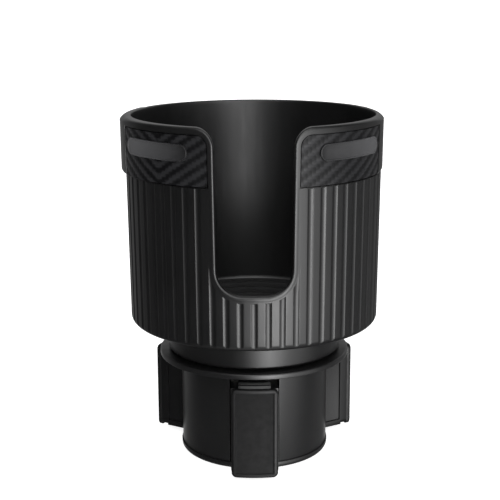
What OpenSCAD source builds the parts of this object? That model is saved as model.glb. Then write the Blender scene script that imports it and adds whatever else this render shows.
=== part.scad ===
// Car cup holder expander: a fluted cup with an open front slot, turned on an expanding three-jaw base.
// Millimetres. +Z is up, the slot faces -Y, and the origin is the centre of the foot's underside.
// An azimuth is measured in degrees from the front, positive towards +X.

/* [Cup] */
// Height of the cup, from its underside to the rim
cup_h = 82.5; // [70:0.1:100]
// Outer radius of the wall at the rim
cup_rim_r = 50.5; // [48:0.05:54]
// Outer radius of the wall at its lower edge
cup_foot_r = 49.55; // [47:0.05:53]
// Thickness of the wall
wall_t = 2.6; // [2.4:0.1:3.4]
// Thickness of the cup's floor
floor_t = 2.6; // [2.4:0.1:4]
// Rounding between the wall and the underside
cup_round = 2.1; // [2:0.1:5]
// Rounding between the wall and the floor inside
inner_round = 2.4; // [1:0.1:4]
// Rounding of the rim's two edges
rim_round = 1.1; // [0.4:0.1:1.1]

/* [Flutes] */
// Number of flutes round the wall
flute_count = 60; // [40:1:72]
// Width of a flute at the wall's surface
flute_w = 2.4; // [1.8:0.1:2.8]
// Depth of a flute
flute_d = 0.5; // [0.4:0.05:0.9]
// Height between a flute's upper end and the side pads
flute_stop = 0.4; // [0.4:0.1:4]

/* [Slot] */
// Width of the slot just above its lower corners
slot_low_w = 27.8; // [22:0.1:29]
// Width of the slot just below its flared upper corners
slot_top_w = 28.8; // [28:0.2:33]
// Height of the slot's sill above the cup's underside
slot_sill = 21.2; // [12:0.1:30]
// Radius of the slot's lower corners
slot_round = 9.5; // [4:0.5:10.5]
// Radius of the flared upper corners
slot_flare = 7.2; // [4:0.1:8]
// Width of the smooth border that follows the slot
border_w = 2.2; // [1.5:0.1:3]

/* [Side pads and trim] */
// Height of the side pads, from their lower edge to the rim
pad_drop = 21.8; // [16:0.1:26]
// Azimuth at which the side pads come flush with the wall
flush_az = 20.5; // [18:0.5:24]
// Azimuth at which the side pads end
side_pad_az = 115; // [80:1:130]
// How far the left side pad stands proud at the side
left_lift = 1.7; // [0.5:0.1:2.5]
// How far the right side pad stands proud at the side
right_lift = 0.5; // [0.5:0.1:2.5]
// Rounding of a side pad's lower edge
side_pad_round = 1.3; // [0.4:0.1:1.5]
// Height of the plain band above the trim
rim_band = 2.6; // [2:0.1:5]
// Azimuth at which the trim panels end
trim_az = 67.5; // [60:0.5:75]
// Thickness of a trim panel
trim_t = 0.95; // [0.7:0.05:1.1]
// Depth of the trim's face below the band round it
trim_sink = 0.3; // [0.1:0.05:0.4]
// Gap round the edge of a trim panel
trim_gap = 0.2; // [0.1:0.05:0.4]

/* [Badge bars] */
// Azimuth of a badge bar's middle
badge_az = 47.2; // [45:0.2:50]
// Length of a badge bar, measured straight across
badge_w = 31.6; // [20:0.2:34]
// Height of a badge bar
badge_h = 6.4; // [4:0.1:9]
// Radius of a badge bar's corners
badge_round = 2.8; // [1:0.1:2.9]
// Thickness of a badge bar at its raised edge
badge_t = 0.8; // [0.6:0.05:1.2]
// Depth of the badge bar's plain field below its edge
badge_field = 0.2; // [0.1:0.05:0.3]
// Width of the badge bar's raised edge
badge_edge = 0.55; // [0.4:0.05:0.8]
// Height of a badge bar's lower edge above the trim's lower edge
badge_low = 9.1; // [5:0.1:9.6]

/* [Floor mat] */
// Thickness of the rubber mat
mat_t = 1.6; // [1:0.1:3]
// Gap between the mat and the wall
mat_gap = 0.4; // [0.2:0.1:1]
// Number of raised rings on the mat
mat_rings = 4; // [1:1:5]
// Height of the raised rings
mat_ring_h = 0.5; // [0.3:0.1:0.8]
// Width of the raised rings
mat_ring_w = 1.6; // [1:0.1:2.4]

/* [Collar] */
// Height of the collar between the cup and the base
collar_h = 11.8; // [10:0.1:18]
// Radius of the collar at its lower edge
collar_low_r = 34.8; // [30:0.1:36]
// Radius of the collar where its flare begins
collar_waist_r = 35.3; // [32:0.1:37]
// Radius of the flare under the cup
collar_flare = 3.3; // [3:0.1:7]
// Rounding of the collar's lower edge
collar_round = 1.2; // [0.6:0.1:1.6]
// Thickness of the collar's shell
collar_t = 2; // [1.6:0.1:2.6]

/* [Base] */
// Outer radius of the base's body
body_r = 29.6; // [29:0.1:31]
// Thickness of the body's wall
body_wall = 2.2; // [1.8:0.1:2.6]
// Height of the body between its floor and its flange
body_h = 38; // [30:0.1:46]
// Radius of the flange on top of the body
flange_r = 38.2; // [36:0.1:42]
// Thickness of the flange
flange_t = 1.7; // [1.4:0.1:2.6]
// Rounding of the flange's edges
flange_round = 0.7; // [0.3:0.1:0.7]
// Thickness of the bottom plate
plate_t = 2.6; // [2.4:0.1:4]
// How far the bottom plate's lip stands out past the body
plate_lip = 0.4; // [0.2:0.1:0.8]
// Rounding of the bottom plate's lower edge
plate_round = 1.6; // [0.6:0.1:2]
// Distance from the body's outside to the edge of the rubber foot
foot_inset = 7.4; // [7:0.1:12]
// Thickness of the rubber foot
foot_t = 1.2; // [1:0.1:1.6]
// How far the foot stands below the bottom plate
foot_proud = 0.4; // [0.3:0.1:0.8]

/* [Jaws] */
// Radius of the pads' faces with the jaws as shown
jaw_reach = 43.2; // [41:0.1:44]
// Width of a jaw
jaw_w = 18.2; // [16:0.1:19]
// Gap at each side of a jaw in its window
jaw_gap = 0.6; // [0.3:0.05:0.8]
// Gap under a jaw
jaw_lift = 0.3; // [0.2:0.05:0.5]
// Thickness of a jaw's head, with its pad
head_t = 6.5; // [5:0.1:6.7]
// Radius of a jaw's inner end
jaw_in_r = 14.2; // [13.8:0.1:15]
// Depth of the pockets in a jaw's sides
pocket_d = 0.8; // [0.4:0.1:1.5]
// Width of the edges above, below and behind a pocket
pocket_edge = 2.2; // [1.5:0.1:4]
// Thickness of the rubber pads
pad_t = 2; // [1.5:0.1:3]
// How far a pad stands above its jaw
pad_rise = 1.25; // [0.6:0.05:1.4]
// How far a pad hangs below its jaw
pad_hang = 0.8; // [0.2:0.1:1.6]
// Radius of the corners of a jaw's head and pad
head_round = 2; // [1:0.1:3]
// Width of the raised edge round a pad's field
pad_edge = 1.8; // [1.2:0.1:2.6]
// Depth of a pad's field below its edge
pad_field = 0.45; // [0.2:0.05:0.8]

/* [Scroll drive] */
// Radial travel of the jaws for one turn of the cup
pitch = 4.3; // [4.2:0.05:4.6]
// Thickness of a jaw's arc teeth
tooth_t = 1.6; // [1.2:0.1:1.7]
// Height of a jaw's arc teeth
tooth_h = 1.5; // [1.2:0.1:1.8]
// Width across the arc teeth
tooth_span = 12.3; // [10:0.1:12.6]
// Width across the innermost arc teeth
inner_tooth_span = 8; // [6:0.1:9]
// Radius of the front jaw's outermost tooth
tooth_r = 38.3; // [38:0.05:38.5]
// Thickness of the scroll's spiral ridge
ridge_t = 1.2; // [1:0.1:1.3]
// Gap between tooth tops and the disc, and between the ridge and the tooth roots
mesh_gap = 0.35; // [0.3:0.05:0.4]
// Thickness of the scroll disc
disc_t = 1.4; // [1.2:0.1:2]
// Gap between the scroll disc's edge and the posts
disc_gap = 0.3; // [0.2:0.1:0.6]
// Radius at which the spiral ridge begins
ridge_in_r = 9.2; // [8.6:0.1:10]
// Distance of the spiral ridge's outer end from the disc's edge
ridge_margin = 0.3; // [0.2:0.05:0.6]
// Radius of the hub that carries the cup
hub_r = 12; // [11:0.1:12.4]
// Gap round the hub in the flange
hub_gap = 0.3; // [0.2:0.05:0.5]
// Radius of the spindle
spindle_r = 5; // [4:0.1:5.2]
// Gap round the spindle in its bearing
spindle_gap = 0.25; // [0.15:0.05:0.3]
// Thickness of the bearing's wall
bearing_t = 2.1; // [1.5:0.1:2.2]
// Height of the bearing
bearing_h = 24; // [12:0.5:26]

/* [Washers and screws] */
// Thickness of the washer between the flange and the collar
upper_washer_t = 0.4; // [0.4:0.1:1.2]
// How far the washer between the flange and the collar reaches past the scroll disc's edge
upper_washer_over = 0.3; // [-6:0.1:4]
// Thickness of the washer between the scroll disc and the flange
lower_washer_t = 0.8; // [0.5:0.1:1.2]
// Distance of the edge of the washer between the scroll disc and the flange from the disc's edge
lower_washer_in = 3.7; // [0.5:0.1:8]
// Running gap at each washer
washer_gap = 0.1; // [0.05:0.01:0.2]
// Distance from the body's outside to the axes of the posts that take the body screws
post_inset = 3.7; // [3.5:0.05:3.7]
// Radius of the posts
post_r = 1.9; // [1.6:0.05:1.9]
// Radius of a body screw's shank
body_screw_r = 0.9; // [0.7:0.05:1]
// Length of a body screw's shank
body_screw_len = 10; // [6:0.5:16]
// Radius of the circle of cup screws
cup_screw_circle_r = 8.4; // [7.8:0.1:8.6]
// Radius of a cup screw's shank
cup_screw_r = 1.4; // [1:0.1:1.5]
// Length of a cup screw's shank
cup_screw_len = 10; // [6:0.5:13]
// Radius of the spindle screw's shank
spindle_screw_r = 1.9; // [1.4:0.1:2.2]
// Length of the spindle screw's shank
spindle_screw_len = 14; // [10:0.5:24]
// Thickness of the spindle washer
spindle_washer_t = 0.8; // [0.5:0.1:1]
// Radius of the spindle washer
spindle_washer_r = 5.6; // [4.8:0.1:6]

/* [Hidden] */
$fn = 96;
mould_black = [0.11, 0.11, 0.12];
trim_black = [0.16, 0.16, 0.17];
badge_grey = [0.36, 0.36, 0.37];
rubber_black = [0.07, 0.07, 0.07];
acetal_white = [0.86, 0.86, 0.83];
steel_grey = [0.62, 0.63, 0.65];
// Length that carries a cut clear of the surface it starts from
past = 1;
// Radius beyond the whole object
far_r = 80;
// Number of steps in the rounding of a turned edge
round_steps = 5;
// Gap between pieces that are glued or pressed together
seat = 0.05;
// Heights of the base, from the ground up
z_plate = foot_proud;
z_deck = z_plate + plate_t;
z_flange = z_deck + body_h;
z_flange_top = z_flange + flange_t;
z_disc_top = z_flange - lower_washer_t - washer_gap;
z_disc = z_disc_top - disc_t;
z_tooth_top = z_disc - mesh_gap;
z_jaw_top = z_tooth_top - tooth_h;
z_jaw = z_deck + jaw_lift;
z_ridge = z_jaw_top + mesh_gap;
// Heights of the collar and the cup
z_collar = z_flange_top + upper_washer_t + washer_gap;
z_cup = z_collar + collar_h;
z_floor = z_cup + floor_t;
z_rim = z_cup + cup_h;
z_sill = z_cup + slot_sill;
z_pad = z_rim - pad_drop;
z_trim_top = z_rim - rim_band;
// Lean of the cup's wall from upright
draft = atan((cup_rim_r - cup_foot_r) / cup_h);
// Turn past the flush azimuth at which a side pad begins
pad_start = 3;
// Depth of the pocket that takes a trim panel
trim_depth = trim_t + trim_sink;
// Head of each screw: radius and height
body_head = [1.9, 1.2];
cup_head = [2.6, 1.2];
spindle_head = [3.6, 1.6];
head_gap = 0.3;
hole_gap = 0.1;
// Radii in the base that follow its body
foot_r = body_r - foot_inset;
post_circle_r = body_r - post_inset;
disc_r = post_circle_r - post_r - disc_gap;
upper_washer_r = disc_r + upper_washer_over;
lower_washer_r = disc_r - lower_washer_in;
// Chamber in the bottom plate for the spindle screw, and the bearing's floor above it
chamber_r = spindle_washer_r + 1;
chamber_h = spindle_head[1] + spindle_washer_t + washer_gap + foot_t;
bearing_floor_t = 1.6;
z_chamber = chamber_h + washer_gap;
z_bearing = z_chamber + bearing_floor_t;
z_spindle = z_bearing + mesh_gap;
bearing_r = spindle_r + spindle_gap + bearing_t;
// Body of a jaw inside its pad, and the window that it runs in
face_r = jaw_reach - pad_t;
head_in_r = jaw_reach - head_t;
window_w = jaw_w + 2 * jaw_gap;
// Guide rails beside the jaws, and the keel under each of them
rail_t = 1.4;
rail_h = 6;
rail_gap = 0.2;
keel_w = 3;
keel_h = 1.5;
keel_gap = 0.3;
// Radius of the spiral's middle line at the right-hand side, where the jaws' teeth lie half a pitch off it
spiral_zero = tooth_r - 4.5 * pitch + pitch / 4;
// Azimuths of the jaws, and of the posts between them
jaw_azimuths = [0, 120, -120];
post_azimuths = [60, 180, -60];

// Radius of the cup's outside at a height
function wall_r(z) = cup_foot_r + (cup_rim_r - cup_foot_r) * (z - z_cup) / cup_h;
// Sideways offset of a side pad's own axis, which brings it flush at one azimuth and proud at the side
function pad_offset(lift) = lift / (1 - sin(flush_az));
// Radius of a side pad's face about its own axis, at a height
function side_r(z, lift) = wall_r(z) - pad_offset(lift) * sin(flush_az);
// Points along an arc
function arc(cx, cy, r, a0, a1) = [for (i = [0:round_steps])
    [cx + r * cos(a0 + (a1 - a0) * i / round_steps), cy + r * sin(a0 + (a1 - a0) * i / round_steps)]];
// Radius of one flank of the spiral ridge, and a point on it
function spiral_r(a, side) = spiral_zero + pitch * a / 360 + side * ridge_t / 2;
function spiral_point(a, side) = spiral_r(a, side) * [cos(a), sin(a)];
// Angle at which the spiral's middle line reaches a radius
function spiral_angle(r) = (r - spiral_zero) * 360 / pitch;
// Radius of a jaw's tooth, counted inwards from the outermost
function tooth_at(az, i) = tooth_r + pitch * az / 360 - i * pitch;

// Rounded rectangle, centred in x and standing on y = 0
module rounded_plate(w, h, r) {
    translate([r - w / 2, 0]) square([w - 2 * r, h]);
    translate([-w / 2, r]) square([w, h - 2 * r]);
    for (x = [r - w / 2, w / 2 - r], y = [r, h - r]) {
        translate([x, y]) circle(r);
    }
}

// Stands a front view up, and carries it back from one y to another
module front_extrude(y0, y1) {
    translate([0, y1, 0]) rotate([90, 0, 0]) linear_extrude(y1 - y0) children();
}

// Ring round the Z axis
module ring(r_in, r_out, z0, z1) {
    translate([0, 0, z0]) difference() {
        cylinder(r = r_out, h = z1 - z0);
        translate([0, 0, -past]) cylinder(r = r_in, h = z1 - z0 + 2 * past);
    }
}

// Wedge round the Z axis between two azimuths
module sector(a0, a1, z0, z1) {
    mid = (a0 + a1) / 2;
    reach = [far_r * [sin(a0), -cos(a0)], 2 * far_r * [sin(mid), -cos(mid)], far_r * [sin(a1), -cos(a1)]];
    translate([0, 0, z0]) linear_extrude(z1 - z0) polygon(concat([[0, 0]], reach));
}

// Front view of the slot, and of all that lies above the rim, grown by a margin into the wall
module slot_outline(grow) {
    z_corner = z_sill + slot_round;
    z_flare = z_rim - slot_flare;
    low = slot_low_w / 2;
    top = slot_top_w / 2;
    polygon([[-low - grow, z_corner], [low + grow, z_corner], [top + grow, z_flare], [top + grow, z_rim],
        [-top - grow, z_rim], [-top - grow, z_flare]]);
    for (x = [slot_round - low, low - slot_round]) {
        translate([x, z_corner]) circle(slot_round + grow);
    }
    translate([slot_round - low, z_sill - grow]) square([2 * (low - slot_round), slot_round]);
    translate([-far_r, z_rim - grow]) square([2 * far_r, slot_flare]);
    difference() {
        translate([-top - slot_flare, z_flare]) square([2 * (top + slot_flare), slot_flare]);
        for (x = [-top - slot_flare, top + slot_flare]) {
            translate([x, z_flare]) circle(slot_flare - grow);
        }
    }
}

// Turned body of the cup
module cup_profile() {
    low = z_cup + cup_round;
    inside = z_floor + inner_round;
    edge = z_rim - rim_round;
    polygon(concat([[0, z_cup]],
        arc(cup_foot_r - cup_round, low, cup_round, -90, 0),
        arc(cup_rim_r - rim_round, edge, rim_round, 0, 90),
        arc(cup_rim_r - wall_t + rim_round, edge, rim_round, 90, 180),
        arc(cup_foot_r - wall_t - inner_round, inside, inner_round, 0, -90),
        [[0, z_floor]]));
}

// Turned skin about a side pad's own axis, from one depth under its face to another
module side_skin(lift, under, over, z0, z1) {
    rotate_extrude() polygon([[side_r(z0, lift) - under, z0], [side_r(z0, lift) - over, z0],
        [side_r(z1, lift) - over, z1], [side_r(z1, lift) - under, z1]]);
}

// Side pad, which thickens the wall towards the side. The side is -1 at the left and 1 at the right
module side_pad(side, lift) {
    low = z_pad + side_pad_round;
    edge = z_rim - rim_round;
    foot_arc = arc(side_r(low, lift) - side_pad_round, low, side_pad_round, -90, 0);
    rim_arc = arc(side_r(z_rim, lift) - rim_round, edge, rim_round, 0, 90);
    intersection() {
        difference() {
            translate([side * pad_offset(lift), 0, 0]) rotate_extrude()
                polygon(concat([[0, z_pad]], foot_arc, rim_arc, [[0, z_rim]]));
            translate([0, 0, z_cup]) cylinder(r = cup_rim_r - wall_t / 2, h = cup_h + past);
        }
        sector(side * (flush_az + pad_start), side * side_pad_az, z_pad, z_rim);
    }
}

// Space of a trim panel, between two depths under the side pad's face, and smaller by a gap at its edges
module trim_space(side, lift, under, over, gap) {
    z0 = z_pad + gap;
    z1 = z_trim_top - gap;
    difference() {
        intersection() {
            translate([side * pad_offset(lift), 0, 0]) side_skin(lift, under, over, z0, z1);
            sector(side * flush_az / 2, side * (trim_az - gap), z0, z1);
        }
        front_extrude(-far_r, 0) slot_outline(border_w + gap);
    }
}

// Cutters of the flutes, round-bottomed and stopped at the slot's border
module flutes() {
    height = (z_pad - flute_stop - z_cup + past) / cos(draft);
    flute_r = (flute_w * flute_w / 4 + flute_d * flute_d) / (2 * flute_d);
    axis_r = wall_r(z_cup - past) + flute_r - flute_d;
    difference() {
        for (i = [0:flute_count - 1]) {
            rotate([0, 0, i * 360 / flute_count]) translate([0, -axis_r, z_cup - past])
                rotate([draft, 0, 0]) cylinder(r = flute_r, h = height);
        }
        front_extrude(-far_r, 0) slot_outline(border_w);
    }
}

module cup_shell() {
    color(mould_black) difference() {
        union() {
            rotate_extrude() cup_profile();
            side_pad(-1, left_lift);
            side_pad(1, right_lift);
        }
        flutes();
        front_extrude(-far_r, -cup_foot_r / 2) slot_outline(0);
        trim_space(-1, left_lift, trim_depth, -past, 0);
        trim_space(1, right_lift, trim_depth, -past, 0);
        for (az = post_azimuths) {
            rotate([0, 0, az]) translate([0, -cup_screw_circle_r, 0]) {
                translate([0, 0, z_cup - past]) cylinder(r = cup_screw_r + hole_gap, h = floor_t + 2 * past);
                translate([0, 0, z_floor - cup_head[1]])
                    cylinder(r = cup_head[0] + head_gap, h = cup_head[1] + past);
            }
        }
    }
}

// Trim panel, seated in the pocket of its side pad
module trim_panel(side, lift) {
    color(trim_black) trim_space(side, lift, trim_depth - seat, trim_sink, trim_gap);
}

module trim_panel_left() {
    trim_panel(-1, left_lift);
}

module trim_panel_right() {
    trim_panel(1, right_lift);
}

// Badge bar on its trim panel: a plain field inside a raised edge
module badge_bar(side, lift) {
    z0 = z_pad + badge_low;
    back = trim_sink - seat;
    face = back - badge_t;
    color(badge_grey) difference() {
        intersection() {
            translate([side * pad_offset(lift), 0, 0]) side_skin(lift, back, face, z0, z0 + badge_h);
            rotate([0, 0, side * badge_az]) front_extrude(-far_r, 0) translate([0, z0])
                rounded_plate(badge_w, badge_h, badge_round);
        }
        intersection() {
            translate([side * pad_offset(lift), 0, 0])
                side_skin(lift, face + badge_field, face - past, z0 + badge_edge, z0 + badge_h - badge_edge);
            rotate([0, 0, side * badge_az]) front_extrude(-far_r, 0) translate([0, z0 + badge_edge])
                rounded_plate(badge_w - 2 * badge_edge, badge_h - 2 * badge_edge, badge_round - badge_edge);
        }
    }
}

module badge_bar_left() {
    badge_bar(-1, left_lift);
}

module badge_bar_right() {
    badge_bar(1, right_lift);
}

module floor_mat() {
    mat_r = cup_foot_r - wall_t - inner_round - mat_gap;
    step = mat_r / (mat_rings + 1);
    z_top = z_floor + mat_t;
    color(rubber_black) {
        translate([0, 0, z_floor]) cylinder(r = mat_r, h = mat_t);
        for (i = [1:mat_rings]) {
            ring(i * step - mat_ring_w / 2, i * step + mat_ring_w / 2, z_top - mat_t / 2, z_top + mat_ring_h);
        }
    }
}

// Bowl-shaped collar that joins the cup to the base, with a tube round the hub
module neck_collar() {
    z_flare = z_cup - collar_flare;
    low = z_collar + collar_round;
    tube_r = hub_r + hole_gap;
    flare_end = asin(collar_flare / (collar_flare + collar_t));
    color(mould_black) rotate_extrude() polygon(concat([[tube_r, z_collar]],
        arc(collar_low_r - collar_round, low, collar_round, -90, 0),
        arc(collar_waist_r + collar_flare, z_flare, collar_flare, 180, 90),
        arc(collar_waist_r + collar_flare, z_flare, collar_flare + collar_t, 180 - flare_end, 180),
        [[collar_low_r - collar_t, z_collar + collar_t], [tube_r + collar_t, z_collar + collar_t],
            [tube_r + collar_t, z_cup], [tube_r, z_cup]]));
}

// Spiral ridge under the scroll disc
module spiral_ridge() {
    first = spiral_angle(ridge_in_r);
    last = spiral_angle(disc_r - ridge_margin - ridge_t / 2);
    steps = ceil((last - first) / 10);
    turn = (last - first) / steps;
    translate([0, 0, z_ridge]) linear_extrude(z_disc - z_ridge + disc_t / 2)
        polygon(concat([for (i = [0:steps]) spiral_point(first + i * turn, 1)],
            [for (i = [steps:-1:0]) spiral_point(first + i * turn, -1)]));
}

module scroll_disc() {
    z_screw_end = z_floor - cup_head[1] - cup_screw_len;
    color(acetal_white) difference() {
        union() {
            translate([0, 0, z_disc]) cylinder(r = disc_r, h = disc_t);
            translate([0, 0, z_disc]) cylinder(r = hub_r, h = z_cup - z_disc);
            translate([0, 0, z_spindle]) cylinder(r = spindle_r, h = z_disc - z_spindle + past);
            spiral_ridge();
        }
        for (az = post_azimuths) {
            rotate([0, 0, az]) translate([0, -cup_screw_circle_r, z_screw_end - past])
                cylinder(r = cup_screw_r + hole_gap, h = cup_screw_len + 3 * past);
        }
        translate([0, 0, z_spindle - past])
            cylinder(r = spindle_screw_r + hole_gap, h = spindle_screw_len + past);
    }
}

module base_housing() {
    color(mould_black) difference() {
        union() {
            ring(body_r - body_wall, body_r, z_deck, z_flange + flange_t / 2);
            rotate_extrude() polygon(concat([[0, z_flange]],
                arc(flange_r - flange_round, z_flange + flange_round, flange_round, -90, 0),
                arc(flange_r - flange_round, z_flange_top - flange_round, flange_round, 0, 90),
                [[0, z_flange_top]]));
            for (az = post_azimuths) {
                rotate([0, 0, az]) translate([0, -post_circle_r, z_deck])
                    cylinder(r = post_r, h = body_h + flange_t / 2);
            }
        }
        for (az = jaw_azimuths) {
            rotate([0, 0, az]) translate([-window_w / 2, -body_r - past, z_deck - past])
                cube([window_w, body_r, body_h + past]);
        }
        for (az = post_azimuths) {
            rotate([0, 0, az]) translate([0, -post_circle_r, z_deck - past])
                cylinder(r = body_screw_r + hole_gap, h = body_screw_len + past);
        }
        translate([0, 0, z_flange - past]) cylinder(r = hub_r + hub_gap, h = flange_t + 2 * past);
    }
}

// Rails beside one jaw and the keel under it
module jaw_guides() {
    // The rails' outer corners stay inside the body's wall
    reach = sqrt(pow(body_r - body_wall - rail_gap, 2) - pow(window_w / 2 + rail_t, 2));
    for (x = [-window_w / 2 - rail_t, window_w / 2]) {
        translate([x, -reach, z_deck - past / 2]) cube([rail_t, reach - jaw_in_r, rail_h + past / 2]);
    }
    translate([-keel_w / 2, -body_r + body_wall, z_deck - past / 2])
        cube([keel_w, body_r - body_wall - bearing_r + past, keel_h + past / 2]);
}

module bottom_plate() {
    edge_r = body_r + plate_lip;
    color(mould_black) difference() {
        union() {
            rotate_extrude() polygon(concat([[0, z_plate]],
                arc(edge_r - plate_round, z_plate + plate_round, plate_round, -90, 0),
                [[edge_r, z_deck], [0, z_deck]]));
            translate([0, 0, z_plate]) cylinder(r = bearing_r, h = z_bearing + bearing_h - z_plate);
            for (az = jaw_azimuths) {
                rotate([0, 0, az]) jaw_guides();
            }
        }
        translate([0, 0, z_plate - past]) cylinder(r = foot_r + hole_gap, h = foot_t - foot_proud + past);
        translate([0, 0, z_plate - past]) cylinder(r = chamber_r, h = z_chamber - z_plate + past);
        translate([0, 0, z_chamber - past])
            cylinder(r = spindle_screw_r + head_gap, h = bearing_floor_t + 2 * past);
        translate([0, 0, z_bearing]) cylinder(r = spindle_r + spindle_gap, h = bearing_h + past);
        for (az = post_azimuths) {
            rotate([0, 0, az]) translate([0, -post_circle_r, z_plate - past]) {
                cylinder(r = body_screw_r + hole_gap, h = plate_t + 2 * past);
                cylinder(r = body_head[0] + head_gap, h = body_head[1] + foot_proud + past);
            }
        }
    }
}

module rubber_foot() {
    color(rubber_black) cylinder(r = foot_r, h = foot_t);
}

module lower_washer() {
    color(acetal_white) ring(hub_r + hub_gap, lower_washer_r, z_flange - lower_washer_t, z_flange);
}

module upper_washer() {
    color(acetal_white) ring(hub_r + hub_gap, upper_washer_r, z_flange_top, z_flange_top + upper_washer_t);
}

// Screw with a flat head at z = 0, a cross recess, and its shank pointing up
module screw(head, shank_r, shank_len) {
    slot_w = head[0] / 3;
    arm = head[0] * 0.6;
    difference() {
        union() {
            translate([0, 0, -head[1]]) cylinder(r = head[0], h = head[1]);
            translate([0, 0, -head[1] / 2]) cylinder(r = shank_r, h = shank_len + head[1] / 2);
        }
        for (a = [0, 90]) {
            rotate([0, 0, a]) translate([-arm, -slot_w / 2, -head[1] - past])
                cube([2 * arm, slot_w, head[1] / 2 + past]);
        }
    }
}

module body_screws() {
    color(steel_grey) for (az = post_azimuths) {
        rotate([0, 0, az]) translate([0, -post_circle_r, z_plate + body_head[1] + foot_proud])
            screw(body_head, body_screw_r, body_screw_len);
    }
}

module cup_screws() {
    color(steel_grey) for (az = post_azimuths) {
        rotate([0, 0, az]) translate([0, -cup_screw_circle_r, z_floor - cup_head[1]]) mirror([0, 0, 1])
            screw(cup_head, cup_screw_r, cup_screw_len);
    }
}

module spindle_screw() {
    color(steel_grey) translate([0, 0, z_chamber - washer_gap - spindle_washer_t])
        screw(spindle_head, spindle_screw_r, spindle_screw_len);
}

module spindle_washer() {
    z_top = z_chamber - washer_gap;
    color(steel_grey) ring(spindle_screw_r + hole_gap, spindle_washer_r, z_top - spindle_washer_t, z_top);
}

// Jaw at an azimuth, its arc teeth stepped by a part of the pitch so that one spiral drives all three
module jaw(az) {
    arm_h = z_jaw_top - z_jaw;
    count = floor((tooth_at(az, 0) - jaw_in_r - tooth_t / 2) / pitch);
    color(mould_black) rotate([0, 0, az]) difference() {
        union() {
            intersection() {
                translate([0, 0, z_jaw]) cylinder(r = face_r, h = arm_h);
                front_extrude(-far_r, -head_in_r) translate([0, z_jaw])
                    rounded_plate(jaw_w, arm_h, head_round);
            }
            translate([-jaw_w / 2, -head_in_r - past / 2, z_jaw])
                cube([jaw_w, head_in_r + past / 2 - jaw_in_r, arm_h]);
            for (i = [0:count]) {
                t = tooth_at(az, i);
                span = t < jaw_in_r + pitch * 1.5 ? inner_tooth_span : tooth_span;
                if (t + tooth_t / 2 < face_r - past / 2) {
                    intersection() {
                        ring(t - tooth_t / 2, t + tooth_t / 2, z_jaw_top - past, z_tooth_top);
                        translate([-span / 2, -far_r, 0]) cube([span, far_r, z_tooth_top + past]);
                    }
                }
            }
        }
        for (x = [-jaw_w / 2 - past, jaw_w / 2 - pocket_d]) {
            translate([x, -head_in_r, z_jaw + pocket_edge])
                cube([pocket_d + past, head_in_r - jaw_in_r - pocket_edge, arm_h - 2 * pocket_edge]);
        }
        translate([-keel_w / 2 - keel_gap, -head_in_r, z_jaw - past])
            cube([keel_w + 2 * keel_gap, head_in_r, keel_h + keel_gap + past]);
    }
}

module jaw_front() {
    jaw(jaw_azimuths[0]);
}

module jaw_right() {
    jaw(jaw_azimuths[1]);
}

module jaw_left() {
    jaw(jaw_azimuths[2]);
}

// Rubber pad on a jaw's face, with a field inside a raised edge
module jaw_pad(az) {
    z_low = z_jaw - pad_hang;
    pad_h = z_jaw_top + pad_rise - z_low;
    color(rubber_black) rotate([0, 0, az]) difference() {
        intersection() {
            ring(face_r + seat, jaw_reach, z_low, z_low + pad_h);
            front_extrude(-far_r, 0) translate([0, z_low]) rounded_plate(jaw_w, pad_h, head_round);
        }
        intersection() {
            ring(jaw_reach - pad_field, jaw_reach + past, z_low, z_low + pad_h);
            front_extrude(-far_r, 0) translate([0, z_low + pad_edge])
                rounded_plate(jaw_w - 2 * pad_edge, pad_h - 2 * pad_edge, head_round / 2);
        }
    }
}

module jaw_pad_front() {
    jaw_pad(jaw_azimuths[0]);
}

module jaw_pad_right() {
    jaw_pad(jaw_azimuths[1]);
}

module jaw_pad_left() {
    jaw_pad(jaw_azimuths[2]);
}

base_housing();
bottom_plate();
rubber_foot();
body_screws();
lower_washer();
upper_washer();
cup_shell();
trim_panel_left();
trim_panel_right();
badge_bar_left();
badge_bar_right();
floor_mat();
neck_collar();
scroll_disc();
cup_screws();
spindle_screw();
spindle_washer();
jaw_front();
jaw_right();
jaw_left();
jaw_pad_front();
jaw_pad_right();
jaw_pad_left();
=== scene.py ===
import logging
import math
from dataclasses import dataclass
from enum import Enum
from typing import Callable, Sequence

import bpy
import numpy as np
from mathutils import Matrix, Vector


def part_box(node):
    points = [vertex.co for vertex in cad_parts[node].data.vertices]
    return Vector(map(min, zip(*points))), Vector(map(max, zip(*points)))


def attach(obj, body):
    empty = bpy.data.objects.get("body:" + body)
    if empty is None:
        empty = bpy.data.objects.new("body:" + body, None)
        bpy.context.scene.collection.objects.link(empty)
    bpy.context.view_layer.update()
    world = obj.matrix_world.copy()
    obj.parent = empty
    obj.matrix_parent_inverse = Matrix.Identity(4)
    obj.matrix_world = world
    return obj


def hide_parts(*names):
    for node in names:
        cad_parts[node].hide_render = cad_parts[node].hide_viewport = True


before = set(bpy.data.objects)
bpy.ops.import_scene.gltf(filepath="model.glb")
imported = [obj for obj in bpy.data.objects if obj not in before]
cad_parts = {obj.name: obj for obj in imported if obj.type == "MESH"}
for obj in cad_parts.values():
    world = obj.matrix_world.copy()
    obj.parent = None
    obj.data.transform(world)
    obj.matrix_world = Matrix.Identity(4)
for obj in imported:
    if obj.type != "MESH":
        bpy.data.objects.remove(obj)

LOG = logging.getLogger("cup_holder")
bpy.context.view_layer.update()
# Metres in a millimetre: pieces are modelled in millimetres and finished in metres
MM = 0.001
# Attributes that finishes follow: how far a float runs round the cup, and where a plate's edge is raised
WEAVE_ATTRIBUTE = "float_side"
EDGE_ATTRIBUTE = "raised_edge"
# How far the border of the slot and the rim stands proud of the cup's wall, in millimetres
BORDER_PROUD = 0.04
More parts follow.
